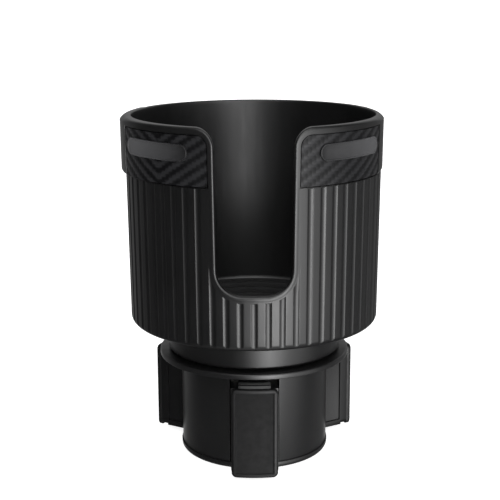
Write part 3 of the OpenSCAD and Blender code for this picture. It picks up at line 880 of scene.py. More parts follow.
@dataclass
class CupShell:
    """The fluted cup: its wall with the flutes and side pads, and the smooth border of its slot and rim.

    Attributes:
        form: Form of the wall.
        flutes: Section of the flutes.
        foot_ring: Distance of the underside's ring from the foot's rounding.
        corner_rise: Height above the slot's corner at which the flutes beside the slot end.
        land_rise: Distance above the flutes at which the wall is plain.
        land_drop: Least distance of that line below the side pads.
        ledge: Distance below the side pads from which the wall steps out to them.
        shoulder: Depth below the rim at which the outside ends under the border.
        pocket_lead: How far before the flush azimuth the trim's pockets begin.
        trim_step: Run over which they end.
        cut_margin: Depth below the rim up to which the slot's cut follows its flared corners.
        cut_widen: How much wider the cut grows from there.
        cut_over: Height above the rim at which it ends.
        cut_depths: Depths between which it is made.
        edge_round: Rounding of the border's free edges.
        inner_edge: Rounding of its edge towards the inside.
        slope_drop: Height of the outward slope that the rim has at the sides.
        slope_in: Width of that slope.
        slope_flat: How flat that slope is, from 0, round, to 1, flat.
        slope_from: Azimuths between which it starts.
        slope_to: Azimuths between which it ends.
        front_az: Azimuth up to which the border is laid out straight across.
        trim_from: Azimuth past which the border has the trim beside it.
        turn_az: Azimuths between which its edge turns from square to the slot to square to the wall.
        widen_az: Azimuths between which it widens to the rim's band.
        trim_sink: Depth of its outer edge beside the trim.
        wall_sink: Depth of its outer edge beside the plain wall.
        wall_dip: How far its face dips towards that edge.
    """

    form: CupForm
    flutes: FluteForm
    foot_ring: float = 8.0
    corner_rise: float = 0.8
    land_rise: float = 0.2
    land_drop: float = 0.3
    ledge: float = 0.02
    shoulder: float = 2.2
    pocket_lead: float = 3.5
    trim_step: float = 0.03
    cut_margin: float = 1.0
    cut_widen: float = 1.5
    cut_over: float = 5.0
    cut_depths: Point = (-70.0, -25.0)
    edge_round: float = 1.0
    inner_edge: float = 0.5
    slope_drop: float = 1.8
    slope_in: float = 2.2
    slope_flat: float = 0.6
    slope_from: Point = (64.0, 76.0)
    slope_to: Point = (122.0, 106.0)
    front_az: float = 60.0
    trim_from: float = 16.0
    turn_az: Point = (18.0, 27.0)
    widen_az: Point = (18.0, 26.0)
    trim_sink: float = 0.5
    wall_sink: float = 0.25
    wall_dip: float = 0.1

    def flute_top(self, az: np.ndarray) -> np.ndarray:
        """Height at which the flutes end at each azimuth: under the pads, or on the slot's border."""
        form = self.form
        x_corner, z_corner = form.corner
        z_beside = z_corner + self.corner_rise
        reach = form.slot_round + form.border + self.flutes.border_gap
        x = np.abs(self.flutes.mean_r * np.sin(np.radians(az))) - x_corner
        inside = reach - 0.001
        round_z = np.minimum(z_corner - np.sqrt(reach ** 2 - np.clip(x, 0.0, inside) ** 2), z_beside)
        border = np.where(x > inside, z_beside, round_z)
        return np.where(np.abs(az) < form.flush_az - 0.1, border, form.z_pad - self.flutes.stop)

    def wall(self) -> bpy.types.Object:
        """The wall and floor as one closed solid, before the slot is cut."""
        form, flutes = self.form, self.flutes
        ends = [form.pad_end_az - d for d in (form.pad_run, 1.1, 0.7, 0.3, 0.1, 0.0)]
        ends += [form.trim_az - self.trim_step, form.trim_az]
        az = np.unique(np.round(np.concatenate([flutes.columns(), ends, np.negative(ends)]), 4))
        az = np.append(az, az[0] + 360.0)
        wrapped = (az + 180.0) % 360.0 - 180.0
        pitch = 360.0 / flutes.count
        groove = flutes.depth_at(np.radians((wrapped + pitch / 2) % pitch - pitch / 2) * flutes.mean_r)
        top = self.flute_top(wrapped)
        z_round = form.z_low + form.foot_round
        rows: list[np.ndarray] = []

        def add(r: Values, z: Values) -> None:
            """Adds a row of the wall at radii and heights."""
            rows.append(form.at(az, r * np.ones_like(az), z * np.ones_like(az)))

        def fluted(z: Values, share: float) -> None:
            """Adds a row of the outside, with a share of the flutes' depth."""
            bend = np.clip((z_round - z) / form.foot_round, 0.0, 1.0)
            land = form.wall_r(z) - form.foot_round * (1.0 - np.sqrt(1.0 - bend ** 2))
            add(np.minimum(land, form.wall_r(z) - groove * share), z)

        add(0.0, form.z_low)
        add(form.foot_r - form.foot_round - self.foot_ring, form.z_low)
        for turn in quarter(12):
            fluted(z_round - form.foot_round * math.cos(turn), 1.0)
        for share in (0.25, 0.5, 0.75, 1.0):
            fluted(z_round + (top - flutes.end - z_round) * share, 1.0)
        for turn in quarter(6)[1:]:
            fluted(top - flutes.end * (1.0 - math.sin(turn)), math.cos(turn))
        fluted(np.minimum(top + self.land_rise, form.z_pad - self.land_drop), 0.0)
        fluted(form.z_pad - self.ledge, 0.0)
        z_shoulder = form.z_rim - self.shoulder
        away = np.abs(wrapped)
        inside = (away > form.flush_az - self.pocket_lead) & (away < form.trim_az - self.trim_step / 3)
        pocket = np.where(inside, form.recess, 0.0)
        for turn in quarter(6):
            z = form.z_pad + form.pad_round * (1.0 - math.cos(turn))
            add(form.outer_r(wrapped, np.where(inside, form.z_face, z)) - pocket, z)
        for share in (0.5, 1.0):
            z = form.z_face * (1 - share) + z_shoulder * share
            add(form.outer_r(wrapped, z) - pocket, z)
        z_in = form.z_low + form.floor_t + form.inner_round
        for share in (0.0, 0.33, 0.67, 1.0):
            z = z_shoulder + (z_in - z_shoulder) * share
            add(form.inner_r(z), z)
        for r, z in arc((form.inner_r(z_in) - form.inner_round, z_in), form.inner_round, 0, -90, 6)[1:]:
            add(r, z)
        add(0.0, form.z_low + form.floor_t)
        table = np.stack(rows)
        obj = Bench.sheet("fluted_shell", len(az) - 1, len(rows) - 1, lambda c, r: table[r, c])
        Bench.close(obj)
        return obj

    def cut_slot(self, wall: bpy.types.Object) -> None:
        """Cuts the slot into the wall, halfway under its border."""
        form, grow = self.form, self.form.border / 2
        half = [(0.0, form.z_low + form.sill - grow)]
        half += arc(form.corner, form.slot_round + grow, -90, 0, 12)
        half += arc(form.flare, form.slot_flare - grow, 180, 90, 12)
        half = [p for p in half if p[1] < form.z_rim - self.cut_margin]
        half.append((half[-1][0] + self.cut_widen, form.z_rim + self.cut_over))
        outline = half + [(-x, z) for x, z in reversed(half[1:])]
        Bench.cut(wall, Bench.prism("slot_cutter", outline, *self.cut_depths))

    def border_path(self) -> np.ndarray:
        """Line of the slot's edge and the rim, all round.

        Returns:
            Rows of azimuths, heights, and the way into the wall across and up.
        """
        form = self.form
        x_corner, z_corner = form.corner
        x_flare, z_flare = form.flare
        points = [(x, form.z_low + form.sill, 0.0, -1.0) for x in np.linspace(0.0, x_corner, 6)]
        for t in quarter(16)[1:]:
            sin, cos = math.sin(t), math.cos(t)
            points.append((x_corner + form.slot_round * sin, z_corner - form.slot_round * cos, sin, -cos))
        for share in np.linspace(0.0, 1.0, 14)[1:-1]:
            points.append((form.slot_low + (form.slot_top - form.slot_low) * share,
                           z_corner + (z_flare - z_corner) * share, 1.0, 0.0))
        for t in quarter(16):
            sin, cos = math.sin(t), math.cos(t)
            points.append((x_flare - form.slot_flare * cos, z_flare + form.slot_flare * sin, cos, -sin))
        x, z, nx, nz = np.array(points).T
        az = np.degrees(np.arcsin(x / form.wall_r(z)))
        rim = [(a, form.z_rim, 0.0, -1.0) for a in np.arange(math.ceil(az[-1]) + 1.0, 180.0, 1.5)]
        half = np.vstack([np.column_stack([az, z, nx, nz]), rim])
        other = half[::-1] * (-1.0, 1.0, -1.0, 1.0)
        return np.vstack([half, [(180.0, form.z_rim, 0.0, -1.0)], other[:-1]]).T

    def section(self, lean: np.ndarray, trimmed: np.ndarray) -> list[BorderLine]:
        """Section of the border, from its outer edge over its free edge to its inner edge.

        Args:
            lean: How far the rim slopes outwards all round, from 0 to 1.
            trimmed: Where the border has the trim beside it.

        Returns:
            The section's lines.
        """
        drop = self.edge_round + (self.slope_drop - self.edge_round) * lean
        into = self.edge_round + (self.slope_in - self.edge_round) * lean
        flat = self.slope_flat * lean
        lines = [BorderLine(False, 1.0, sink=np.where(trimmed, self.trim_sink, self.wall_sink)),
                 BorderLine(False, 1.0, sink=np.where(trimmed, 0.0, self.wall_dip)),
                 BorderLine(False, 0.8)]
        for t in quarter(6):
            share = 2 * t / math.pi
            across = drop * ((1 - flat) * (1 - math.sin(t)) + flat * (1 - share))
            sink = into * ((1 - flat) * (1 - math.cos(t)) + flat * share)
            lines.append(BorderLine(False, 0.0, across, sink))
        for t in reversed(quarter(3)):
            across, sink = self.inner_edge * (1 - math.sin(t)), self.inner_edge * (1 - math.cos(t))
            lines.append(BorderLine(True, 0.0, across, sink))
        return lines + [BorderLine(True, 0.5), BorderLine(True, 1.0)]

    def band(self) -> bpy.types.Object:
        """The smooth border that runs round the slot and on round the rim, as one closed sweep."""
        form = self.form
        az, z, nx, nz = self.border_path()
        away = np.abs(az)
        front = away < self.front_az
        x0 = form.wall_r(z) * np.sin(np.radians(az))
        ease = ramp(away, *self.turn_az)
        ray_az = np.radians(az * ease * ease * (3 - 2 * ease))
        ray = np.stack([-np.sin(ray_az), np.cos(ray_az)], -1)
        trimmed = (away > self.trim_from) & (away < form.trim_az) & (z > form.z_pad)
        width = form.border + (form.rim_band - form.border) * ramp(away, *self.widen_az)

        def faces(u: np.ndarray) -> tuple[np.ndarray, np.ndarray]:
            """Places on the wall's outside and inside at a distance from the edge."""
            zz = z + nz * u
            xx = x0 + nx * u
            a = np.where(front, np.degrees(np.arcsin(np.clip(xx / form.wall_r(zz), -1, 1))), az)
            ro = form.outer_r(a, zz) + BORDER_PROUD
            ri = form.inner_r(zz) - BORDER_PROUD
            y = -np.sqrt(np.maximum(ro ** 2 - xx ** 2, 0.0))
            outer = np.where(front[:, None], np.stack([xx, y, zz], -1), form.at(a, ro, zz))
            b = outer[:, 0] * ray[:, 0] + outer[:, 1] * ray[:, 1]
            c = outer[:, 0] ** 2 + outer[:, 1] ** 2 - ri ** 2
            reach = -b - np.sqrt(np.maximum(b * b - c, 0.0))
            return outer, outer + np.column_stack([ray * reach[:, None], np.zeros(len(z))])

        lines = self.section(ramp(away, *self.slope_from) * ramp(away, *self.slope_to), trimmed)
        columns = []
        for line in lines:
            outer, inner = faces(width * line.share + line.across)
            depth = inner - outer
            length = np.maximum(np.linalg.norm(depth, axis=1)[:, None], 1e-6)
            sink = depth / length * np.reshape(line.sink, (-1, 1))
            columns.append(inner - sink if line.inner else outer + sink)
        table = np.stack(columns)
        count, steps = len(lines), len(z)
        obj = Bench.sheet("rim_border", steps, count, lambda c, q: table[q % count, c % steps])
        Bench.close(obj)
        return obj

    def build(self, material: bpy.types.Material) -> None:
        """Builds the shell and its border and dresses them."""
        wall = self.wall()
        self.cut_slot(wall)
        finish_piece(wall, material, Body.CUP, "cup_shell", angle=38.0)
        finish_piece(self.band(), material, Body.CUP, "cup_shell", angle=50.0)


class Twill(Enum):
    """Ways in which a trim panel's twill runs, seen from outside."""

    RISING = "rising"
    CHEVRON = "chevron"


@dataclass
class TrimPanel:
    """A woven-look trim panel let into a side pad.

    Attributes:
        form: Form of the cup.
        side: The side it is on.
        twill: Way in which its twill runs.
        thread: Height of a float that runs round the cup, in millimetres.
        slope: Rise of the twill over its run.
        ridge_share: Share of the twill's ridges in the weave's height, against the single floats.
        crown: How round a float is across, from 0 to 1.
        float_end: Height of a float's ends, as a share of its middle.
        relief: Height of the weave.
        mean_h: Share of that height that lies at the panel's face.
        sink: Depth of that face below the border.
        thick: Thickness of the panel.
        gap: Gap round its edge.
        fold_az: Azimuth at which a chevron folds.
        step: Size of the woven face's grid.
    """

    form: CupForm
    side: Side
    twill: Twill
    thread: float = 1.06
    slope: float = 0.64
    ridge_share: float = 0.55
    crown: float = 0.92
    float_end: float = 0.45
    relief: float = 0.16
    mean_h: float = 0.6
    sink: float = 0.3
    thick: float = 0.9
    gap: float = 0.42
    fold_az: float = 43.2
    step: float = 0.2

    def weave(self, s: np.ndarray, z: np.ndarray) -> tuple[np.ndarray, np.ndarray]:
        """Height of the twill and which of its floats shows.

        Args:
            s: Distances round the cup in millimetres, growing to the right.
            z: Heights.

        Returns:
            The heights from 0 to 1, and how far a float that runs round the cup shows, from 0 to 1.
        """
        wide = self.thread / self.slope
        if self.twill is Twill.CHEVRON:
            s = np.abs(s + math.radians(self.fold_az) * self.form.rim_r)
        i, j = np.floor(s / wide), np.floor(z / self.thread)
        u, v = s / wide - i, z / self.thread - j
        across = np.mod(i - j, 4) < 2
        ridge = 0.5 + 0.5 * np.cos(math.pi / 2 * (s / wide - z / self.thread - 0.5))
        along = (np.mod(i - j, 2) + np.where(across, u, 1 - v)) / 2
        crown = np.sqrt(np.clip(1 - (2 * np.where(across, v, u) - 1) ** 2 * self.crown, 0, 1))
        single = crown * (self.float_end + (1 - self.float_end) * np.sin(np.pi * np.clip(along, 0, 1)))
        share = self.ridge_share
        return share * ridge + (1 - share) * single, (1 - share) * across + share * ridge

    def front_edge(self, z: np.ndarray) -> np.ndarray:
        """Distance round the cup at which the panel begins at each height, along the slot's border."""
        form = self.form
        margin = form.border + self.gap
        _, z_corner = form.corner
        _, z_flare = form.flare
        round_r = form.slot_flare - margin
        lean = (form.slot_top - form.slot_low) / (z_flare - z_corner)
        above = np.clip((z - z_flare) / round_r, 0.0, 1.0)
        x = np.minimum(form.slot_low + lean * (z - z_corner), form.slot_top) + margin
        return np.arcsin((x + round_r * (1 - np.sqrt(1 - above ** 2))) / form.wall_r(z)) * form.rim_r

    def build(self, material: bpy.types.Material) -> None:
        """Builds the panel and dresses it."""
        form, side = self.form, self.side.value
        z0 = form.z_pad + self.gap
        z1 = form.z_rim - form.rim_band - self.gap
        rows = int((z1 - z0) / self.step)
        z = z0 + (z1 - z0) * np.arange(rows + 1) / rows
        begin = self.front_edge(z)
        end = math.radians(form.trim_az - self.gap) * form.rim_r
        cols = int((end - begin.min()) / self.step)

        def place(c: np.ndarray, q: np.ndarray) -> np.ndarray:
            """Places of the woven face's vertices."""
            s = side * (begin[q] + (end - begin[q]) * c / cols)
            az = np.degrees(s / form.rim_r)
            height, _ = self.weave(s, z[q])
            face = form.outer_r(az, np.maximum(z[q], form.z_face)) - self.sink
            return form.at(az, face + (height - self.mean_h) * self.relief, z[q])

        name = self.side.name.lower()
        obj = Bench.sheet("woven_trim_" + name, cols, rows, place)
        co = Bench.places(obj)
        _, across = self.weave(np.arctan2(co[:, 0], -co[:, 1]) * form.rim_r, co[:, 2])
        Bench.mark(obj, WEAVE_ATTRIBUTE, across)
        Bench.close(obj)
        Bench.apply(obj, "SOLIDIFY", thickness=self.thick, offset=-1.0)
        finish_piece(obj, material, Body.CUP, "trim_panel_" + name, angle=60.0)


@dataclass
class CurvedPlate:
    """A plate with rounded corners and a plain field inside a raised edge, bent round an upright axis.

    Attributes:
        name: Name of the piece.
        width: Width, measured straight across.
        height: Height.
        corner: Radius of its corners.
        thick: Thickness at its edge.
        edge: Width of the raised edge.
        outer: Rounding of its outer side.
        field: Depth of the field below the edge.
        ease: Rounding between the edge and the field.
        strips: Strips that it is divided into, to bend it.
    """

    name: str
    width: float
    height: float
    corner: float
    thick: float
    edge: float
    outer: float
    field: float
    ease: float
    strips: int

    def flat(self) -> bpy.types.Object:
        """The plate before it is bent, upright, with its face at depth 0 towards the front."""
        obj = Bench.start(self.name, bpy.ops.mesh.primitive_plane_add, size=1.0, rotation=(math.pi / 2, 0, 0))
        bpy.ops.object.transform_apply(location=False, rotation=True, scale=False)
        Bench.edit(obj)
        bpy.ops.transform.resize(value=(self.width, 1.0, self.height))
        bpy.ops.mesh.bevel(offset=self.corner, segments=10, affect="VERTICES")
        bpy.ops.mesh.select_all(action="SELECT")
        bpy.ops.mesh.extrude_region_move(TRANSFORM_OT_translate={"value": (0, -self.thick, 0)})
        bpy.ops.mesh.select_mode(type="FACE")
        bpy.ops.mesh.bevel(offset=self.outer, segments=4, affect="EDGES")
        Bench.done()
        for face in obj.data.polygons:
            face.select = abs(face.center.y + self.thick) < self.outer / 100
        bpy.ops.object.mode_set(mode="EDIT")
        bpy.ops.mesh.inset(thickness=self.edge - self.outer)
        bpy.ops.mesh.extrude_region_move(TRANSFORM_OT_translate={"value": (0, self.field, 0)})
        Bench.done()
        Bench.close(obj)
        Bench.bevel(obj, self.ease, segments=2, angle=40.0)
        Bench.edit(obj)
        for k in range(1, self.strips):
            bpy.ops.mesh.select_all(action="SELECT")
            bpy.ops.mesh.bisect(plane_co=(self.width * (k / self.strips - 0.5), 0, 0), plane_no=(1, 0, 0))
        Bench.done()
        return obj

    def bent(self, rule: Callable[[np.ndarray], np.ndarray]) -> bpy.types.Object:
        """The plate with its raised edge marked and its vertices moved by a rule on their places."""
        obj = self.flat()
        co = Bench.places(obj)
        edge = self.edge - self.ease
        raised = (np.abs(co[:, 0]) > self.width / 2 - edge) | (np.abs(co[:, 2]) > self.height / 2 - edge)
        Bench.mark(obj, EDGE_ATTRIBUTE, raised)
        Bench.move(obj, rule(co))
        return obj


@dataclass
class BadgeBar:
    """A blank satin bar on a trim panel.

    Attributes:
        form: Form of the cup.
        side: The side it is on.
        az: Azimuth of the bar's middle.
        low: Height of its lower edge above the side pad's.
        sink: Depth of its back below the pad's face.
    """

    form: CupForm
    side: Side
    az: float = 46.5
    low: float = 9.1
    sink: float = 0.3

    def build(self, material: bpy.types.Material) -> None:
        """Builds the bar and dresses it."""
        form, name = self.form, self.side.name.lower()
        plate = CurvedPlate("satin_bar_" + name, width=31.6, height=6.4, corner=3.0, thick=0.8, edge=0.5,
                            outer=0.2, field=0.18, ease=0.08, strips=40)
        z_mid = form.z_pad + self.low + plate.height / 2
        centre = math.radians(self.side.value * self.az)

        def onto_pad(co: np.ndarray) -> np.ndarray:
            """Bends the bar onto the side pad: distances across become chords of the wall."""
            z = co[:, 2] + z_mid
            az = np.degrees(centre + np.arcsin(co[:, 0] / form.wall_r(z)))
            return form.at(az, form.outer_r(az, z) - self.sink - co[:, 1], z)

        finish_piece(plate.bent(onto_pad), material, Body.CUP, "badge_bar_" + name, angle=25.0)


@dataclass
class FloorMat:
    """The rubber mat in the cup, with raised rings.

    Attributes:
        rings: Number of rings.
        ring_w: Width of a ring.
        ring_h: Height of a ring.
        ring_round: Rounding of its top.
        skirt_w: Width of the slope at its foot.
        skirt_h: Height of that slope.
        ease: Rounding of the mat's upper edge.
    """

    rings: int = 4
    ring_w: float = 1.6
    ring_h: float = 0.5
    ring_round: float = 0.3
    skirt_w: float = 0.15
    skirt_h: float = 0.1
    ease: float = 0.5

    def build(self, material: bpy.types.Material) -> None:
        """Builds the mat and dresses it."""
        low, high = node_box("floor_mat")
        r, z0, z1 = high[0], low[2], high[2] - self.ring_h
        half, z_skirt = self.ring_w / 2, z1 + self.skirt_h
        outline: Outline = [(0.0, z0), (r, z0)]
        outline += arc((r - self.ease, z1 - self.ease), self.ease, 0, 90, 4)
        for k in range(self.rings, 0, -1):
            x = k * r / (self.rings + 1)
            outline += [(x + half + self.skirt_w, z1), (x + half, z_skirt)]
            outline += arc((x, z1 + self.ring_h - self.ring_round), self.ring_round, 60, 120, 3)
            outline += [(x - half, z_skirt), (x - half - self.skirt_w, z1)]
        outline += [(0.0, z1)]
        obj = Bench.spun("cup_mat", outline, steps=128)
        finish_piece(obj, material, Body.CUP, "floor_mat", angle=50.0)


@dataclass
class Collar:
    """The bowl-shaped collar under the cup.

    Attributes:
        low_r: Radius at its lower edge.
        waist_r: Radius where its flare begins.
        flare: Radius of the flare.
        low_round: Rounding of the lower edge.
        thick: Thickness of the shell.
        tube_r: Inner radius of its tube round the hub.
    """

    low_r: float = 34.8
    waist_r: float = 35.3
    flare: float = 3.3
    low_round: float = 1.2
    thick: float = 2.0
    tube_r: float = 12.1

    def build(self, material: bpy.types.Material) -> None:
        """Builds the collar and dresses it."""
        low, high = node_box("neck_collar")
        z0, z1, z_in = low[2], high[2], low[2] + self.thick
        centre = (self.waist_r + self.flare, z1 - self.flare)
        end = math.degrees(math.asin(self.flare / (self.flare + self.thick)))
        tube = self.tube_r + self.thick
        outline: Outline = [(self.tube_r, z0)]
        outline += arc((self.low_r - self.low_round, z0 + self.low_round), self.low_round, -90, 0, 10)
        outline += arc(centre, self.flare, 180, 90, 20)
        outline += arc(centre, self.flare + self.thick, 180 - end, 180, 8)
        outline += [(self.low_r - self.thick, z_in), (tube, z_in), (tube, z1), (self.tube_r, z1)]
        obj = Bench.spun("bowl_collar", outline, steps=256)
        finish_piece(obj, material, Body.CUP, "neck_collar", angle=40.0)


@dataclass
class Base:
    """The round base: its housing with the flange and windows, and the nodes that stay on it.

    Attributes:
        body_r: Outer radius of the body.
        wall: Thickness of its wall.
        flange_round: Rounding of the flange's upper edge.
        flange_ease: Rounding of its lower edge.
        deck_t: Thickness of the flange over the disc.
        rim_t: Thickness of the flange outside the body.
        fillet: Rounding under the flange.
        hub_hole: Radius of the hub's hole in the flange.
        window_w: Width of a jaw's window.
        window_depths: Depths between which a window is cut, from the body's outside, inwards positive.
        ease: Rounding of the windows' edges.
    """

    body_r: float = 29.6
    wall: float = 2.2
    flange_round: float = 0.8
    flange_ease: float = 0.3
    deck_t: float = 1.7
    rim_t: float = 2.35
    fillet: float = 1.0
    hub_hole: float = 12.3
    window_w: float = 19.4
    window_depths: Point = (-3.0, 9.0)
    ease: float = 0.3

    def housing(self) -> bpy.types.Object:
        """The turned housing with its three windows."""
        low, high = node_box("base_housing")
        z0, z_top, flange_r = low[2], high[2], high[0]
        z_deck, z_rim = z_top - self.deck_t, z_top - self.rim_t
        r, ease = self.flange_round, self.flange_ease
        outline: Outline = [(self.body_r - self.wall, z0), (self.body_r, z0)]
        outline += arc((self.body_r + self.fillet, z_rim - self.fillet), self.fillet, 180, 90, 8)
        outline += arc((flange_r - ease, z_rim + ease), ease, -90, 0, 5)
        outline += arc((flange_r - r, z_top - r), r, 0, 90, 6)
        outline += [(self.hub_hole, z_top), (self.hub_hole, z_deck), (self.body_r - self.wall, z_deck)]
        obj = Bench.spun("turned_housing", outline, steps=240)
        half, below = self.window_w / 2, z0 - 1.0
        window: Outline = [(-half, below), (half, below), (half, z_rim), (-half, z_rim)]
        y0, y1 = (depth - self.body_r for depth in self.window_depths)
        for az in JAW_AZIMUTHS.values():
            cutter = Bench.prism("window_cutter", window, y0, y1)
            cutter.data.transform(Matrix.Rotation(math.radians(az), 4, "Z"))
            Bench.cut(obj, cutter)
        Bench.bevel(obj, self.ease, segments=2, angle=55.0)
        return obj

    def build(self, finishes: Finishes) -> None:
        """Builds the base and dresses it."""
        finish_piece(self.housing(), finishes.base, Body.BASE, "base_housing", angle=35.0)
        dress_nodes(finishes.base, "bottom_plate")
        dress_nodes(finishes.pad, "rubber_foot")
        dress_nodes(finishes.steel, "body_screws")
        dress_nodes(finishes.acetal, "lower_washer", "upper_washer")


@dataclass
class Jaw:
    """One sliding jaw with its rubber pad.

    Attributes:
        body: The body it rides on.
        az: Its azimuth.
        reach: Radius of the pad's face.
        width: Width of the jaw and its pad.
        pad_t: Thickness of the pad.
        ease: Rounding of the jaw's edges.
        tooth_lean: How far the fronts of its arc teeth lean back.
        tooth_round: Rounding of their upper edges.
    """

    body: Body
    az: float
    reach: float = 43.2
    width: float = 18.2
    pad_t: float = 2.0
    ease: float = 0.35
    tooth_lean: float = 0.75
    tooth_round: float = 0.35

    def round_teeth(self, jaw: bpy.types.Object) -> None:
        """Leans the fronts of the arc teeth back and rounds their upper edges."""
        top = max(v.co.z for v in jaw.data.vertices) - 0.01
        turn = math.radians(self.az)
        outwards = Vector((math.sin(turn), -math.cos(turn), 0.0))
        Bench.edit(jaw, "DESELECT")
        Bench.done()
        fronts = [v for v in jaw.data.vertices if v.co.z > top and v.normal.dot(outwards) > 0.3]
        for vertex in fronts:
            vertex.co -= outwards * self.tooth_lean
        for edge in jaw.data.edges:
            edge.select = all(jaw.data.vertices[i].co.z > top for i in edge.vertices)
        bpy.ops.object.mode_set(mode="EDIT")
        bpy.ops.mesh.select_mode(type="EDGE")
        bpy.ops.mesh.bevel(offset=self.tooth_round, segments=4, affect="EDGES")
        Bench.done()

    def build(self, finishes: Finishes) -> None:
        """Builds the jaw and its pad and dresses them."""
        name = self.body.value.removesuffix("_jaw")
        jaw = Bench.copy_node("jaw_" + name, "eased_jaw_" + name)
        self.round_teeth(jaw)
        Bench.bevel(jaw, self.ease, segments=3, angle=40.0)
        finish_piece(jaw, finishes.jaw, self.body, "jaw_" + name, angle=35.0)
        low, high = node_box("jaw_pad_" + name)
        z_mid = (high[2] + low[2]) / 2
        plate = CurvedPlate("grip_pad_" + name, width=self.width, height=high[2] - low[2], corner=2.0,
                            thick=self.pad_t, edge=1.8, outer=0.9, field=0.45, ease=0.2, strips=28)

        def round_base(co: np.ndarray) -> np.ndarray:
            """Bends the pad round the base's axis, and turns it to its azimuth."""
            r = self.reach - self.pad_t - co[:, 1]
            turn = np.arcsin(co[:, 0] / self.reach) + math.radians(self.az)
            return np.stack([r * np.sin(turn), -r * np.cos(turn), co[:, 2] + z_mid], -1)

        pad = plate.bent(round_base)
        finish_piece(pad, finishes.pad, self.body, "jaw_pad_" + name, angle=35.0)


# The natural logarithm of 2, rounded: a light patch is about half as bright at its spread
HALVING = 0.7


@dataclass(frozen=True)
class SoftLight:
    """A soft patch of light on the studio's dome.

    Attributes:
        az: Azimuth of its middle in degrees from the front, positive to the right.
        up: Height of its middle in degrees above the horizon.
        spread: Half its width in degrees.
        power: Its brightness.
    """

    az: float
    up: float
    spread: float
    power: float

    @property
    def way(self) -> Colour:
        """Direction of its middle."""
        a, u = math.radians(self.az), math.radians(self.up)
        return (math.sin(a) * math.cos(u), -math.cos(a) * math.cos(u), math.sin(u))

    @property
    def power_of_lobe(self) -> float:
        """Exponent at which the cosine falls to about half at the patch's edge."""
        return HALVING / (1.0 - math.cos(math.radians(self.spread)))


# The camera looks down, so low patches show in upright and overhanging faces, and high ones in rising faces
LOW_LIGHTS = (
    SoftLight(19, -12, 13, 19.0),
    SoftLight(54, -12, 18, 2.9),
    SoftLight(120, -10, 28, 0.28),
    SoftLight(-140, -10, 20, 0.28),
    SoftLight(180, -20, 14, 2.0),
    SoftLight(12, -62, 22, 1.4),
)
HIGH_LIGHTS = (
    SoftLight(12, 36, 22, 5.6),
    SoftLight(180, 38, 22, 1.2),
    SoftLight(-140, 24, 14, 0.35),
    SoftLight(140, 24, 14, 0.9),
)


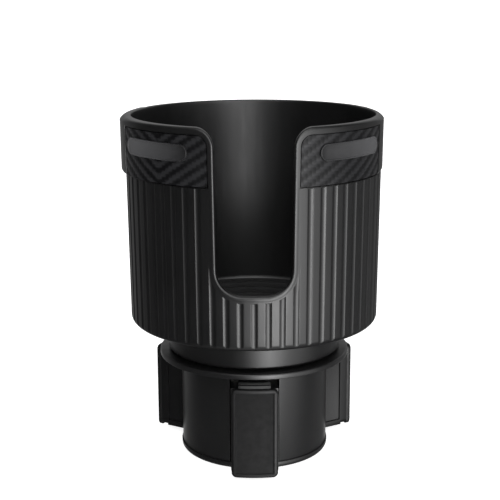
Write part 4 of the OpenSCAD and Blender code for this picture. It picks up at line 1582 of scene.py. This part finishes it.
@dataclass
class Studio:
    """Pale floor, soft light and the camera at the photograph's place.

    Attributes:
        eye: Place of the camera in metres.
        tilt: How far it looks down, in radians.
        roll: Its roll, in radians.
        lens: Focal length in millimetres.
        sensor: Width of the sensor.
        clip: Nearest and furthest distance that it sees.
        floor_r: Radius of the floor in metres.
        floor_grey: Grey of the floor, and strength of its own light.
        sun_power: Strength of the light from above.
        sun_width: Its width in degrees.
        sun_turn: Its turns about the first two axes, in degrees.
        dim: Brightness of the dome between its patches.
    """

    eye: tuple[float, float, float] = (-0.001514, -0.461371, 0.1902)
    tilt: float = 0.23
    roll: float = 0.004
    lens: float = 84.816
    sensor: float = 36.0
    clip: Point = (0.02, 60.0)
    floor_r: float = 14.0
    floor_grey: float = 0.86
    sun_power: float = 0.4
    sun_width: float = 60.0
    sun_turn: Point = (12.0, -14.0)
    dim: float = 0.045

    @staticmethod
    def hang(name: str, data: bpy.types.ID) -> bpy.types.Object:
        """Adds a camera or a light to the scene."""
        obj = bpy.data.objects.new(name, data)
        bpy.context.scene.collection.objects.link(obj)
        return obj

    def camera(self) -> None:
        """Adds the camera."""
        data = bpy.data.cameras.new("camera")
        data.lens = self.lens
        data.sensor_width = self.sensor
        data.clip_start, data.clip_end = self.clip
        right = Vector((1, 0, 0))
        down = Vector((0, -math.sin(self.tilt), -math.cos(self.tilt)))
        ahead = Vector((0, math.cos(self.tilt), -math.sin(self.tilt)))
        cr, sr = math.cos(self.roll), math.sin(self.roll)
        matrix = Matrix((right * cr + down * sr, right * sr - down * cr, -ahead)).transposed().to_4x4()
        matrix.translation = Vector(self.eye)
        obj = self.hang("camera", data)
        obj.matrix_world = matrix
        bpy.context.scene.camera = obj

    def floor(self) -> None:
        """Adds the pale floor, which no reflection shows."""
        obj = Bench.start("floor", bpy.ops.mesh.primitive_circle_add, vertices=96, radius=self.floor_r,
                          fill_type="NGON")
        g = Graph("pale_floor", specular=0.1)
        g.set("Roughness", 0.9)
        g.set("Base Color", (self.floor_grey, self.floor_grey, self.floor_grey, 1.0))
        g.set("Emission Color", (1.0, 1.0, 1.0, 1.0))
        g.set("Emission Strength", self.floor_grey)
        obj.data.materials.append(g.material)
        obj.visible_glossy = False

    def sun(self) -> None:
        """Adds the soft light from above."""
        data = bpy.data.lights.new("overhead", "SUN")
        data.energy = self.sun_power
        data.angle = math.radians(self.sun_width)
        self.hang("overhead", data).rotation_euler = (*(math.radians(t) for t in self.sun_turn), 0)

    def dome(self, lights: Sequence[SoftLight]) -> None:
        """Sets the dome of soft light, which the camera itself sees as a plain pale backdrop.

        Args:
            lights: Its bright patches.
        """
        world = bpy.data.worlds.new("studio")
        bpy.context.scene.world = world
        world.use_nodes = True
        sky = Nodes(world.node_tree)
        background = sky.add("ShaderNodeBackground")
        sky.feed_all(sky.add("ShaderNodeOutputWorld"), background.outputs[0])
        place = sky.add("ShaderNodeTexCoord").outputs["Generated"]
        total: object = self.dim
        for light in lights:
            dot = sky.feed_all(sky.add("ShaderNodeVectorMath", operation="DOT_PRODUCT"), place, light.way)
            near = sky.work_out("MAXIMUM", dot.outputs["Value"], 0.0)
            lobe = sky.work_out("POWER", near, light.power_of_lobe)
            total = sky.work_out("MULTIPLY_ADD", lobe, light.power, total)
        seen = sky.add("ShaderNodeLightPath").outputs["Is Camera Ray"]
        sky.feed(background.inputs["Strength"], sky.work_out("MAXIMUM", total, seen))

    def build(self) -> None:
        """Builds the studio."""
        self.camera()
        self.floor()
        self.sun()
        self.dome(LOW_LIGHTS + HIGH_LIGHTS)
        bpy.context.scene.view_settings.view_transform = "Standard"


def main() -> None:
    """Builds the cup holder and its studio."""
    logging.basicConfig(level=logging.INFO, format="%(name)s %(message)s")
    finishes = Finishes()
    form = CupForm.from_frame()
    CupShell(form, FluteForm()).build(finishes.shell)
    TrimPanel(form, Side.LEFT, Twill.CHEVRON).build(finishes.weave)
    TrimPanel(form, Side.RIGHT, Twill.RISING).build(finishes.weave)
    for side in Side:
        BadgeBar(form, side).build(finishes.badge)
    FloorMat().build(finishes.mat)
    Collar().build(finishes.base)
    Base().build(finishes)
    for body, az in JAW_AZIMUTHS.items():
        Jaw(body, az).build(finishes)
    dress_nodes(finishes.acetal, "scroll_disc")
    dress_nodes(finishes.steel, "cup_screws", "spindle_screw", "spindle_washer")
    Studio().build()


if __name__ == "__main__":
    main()
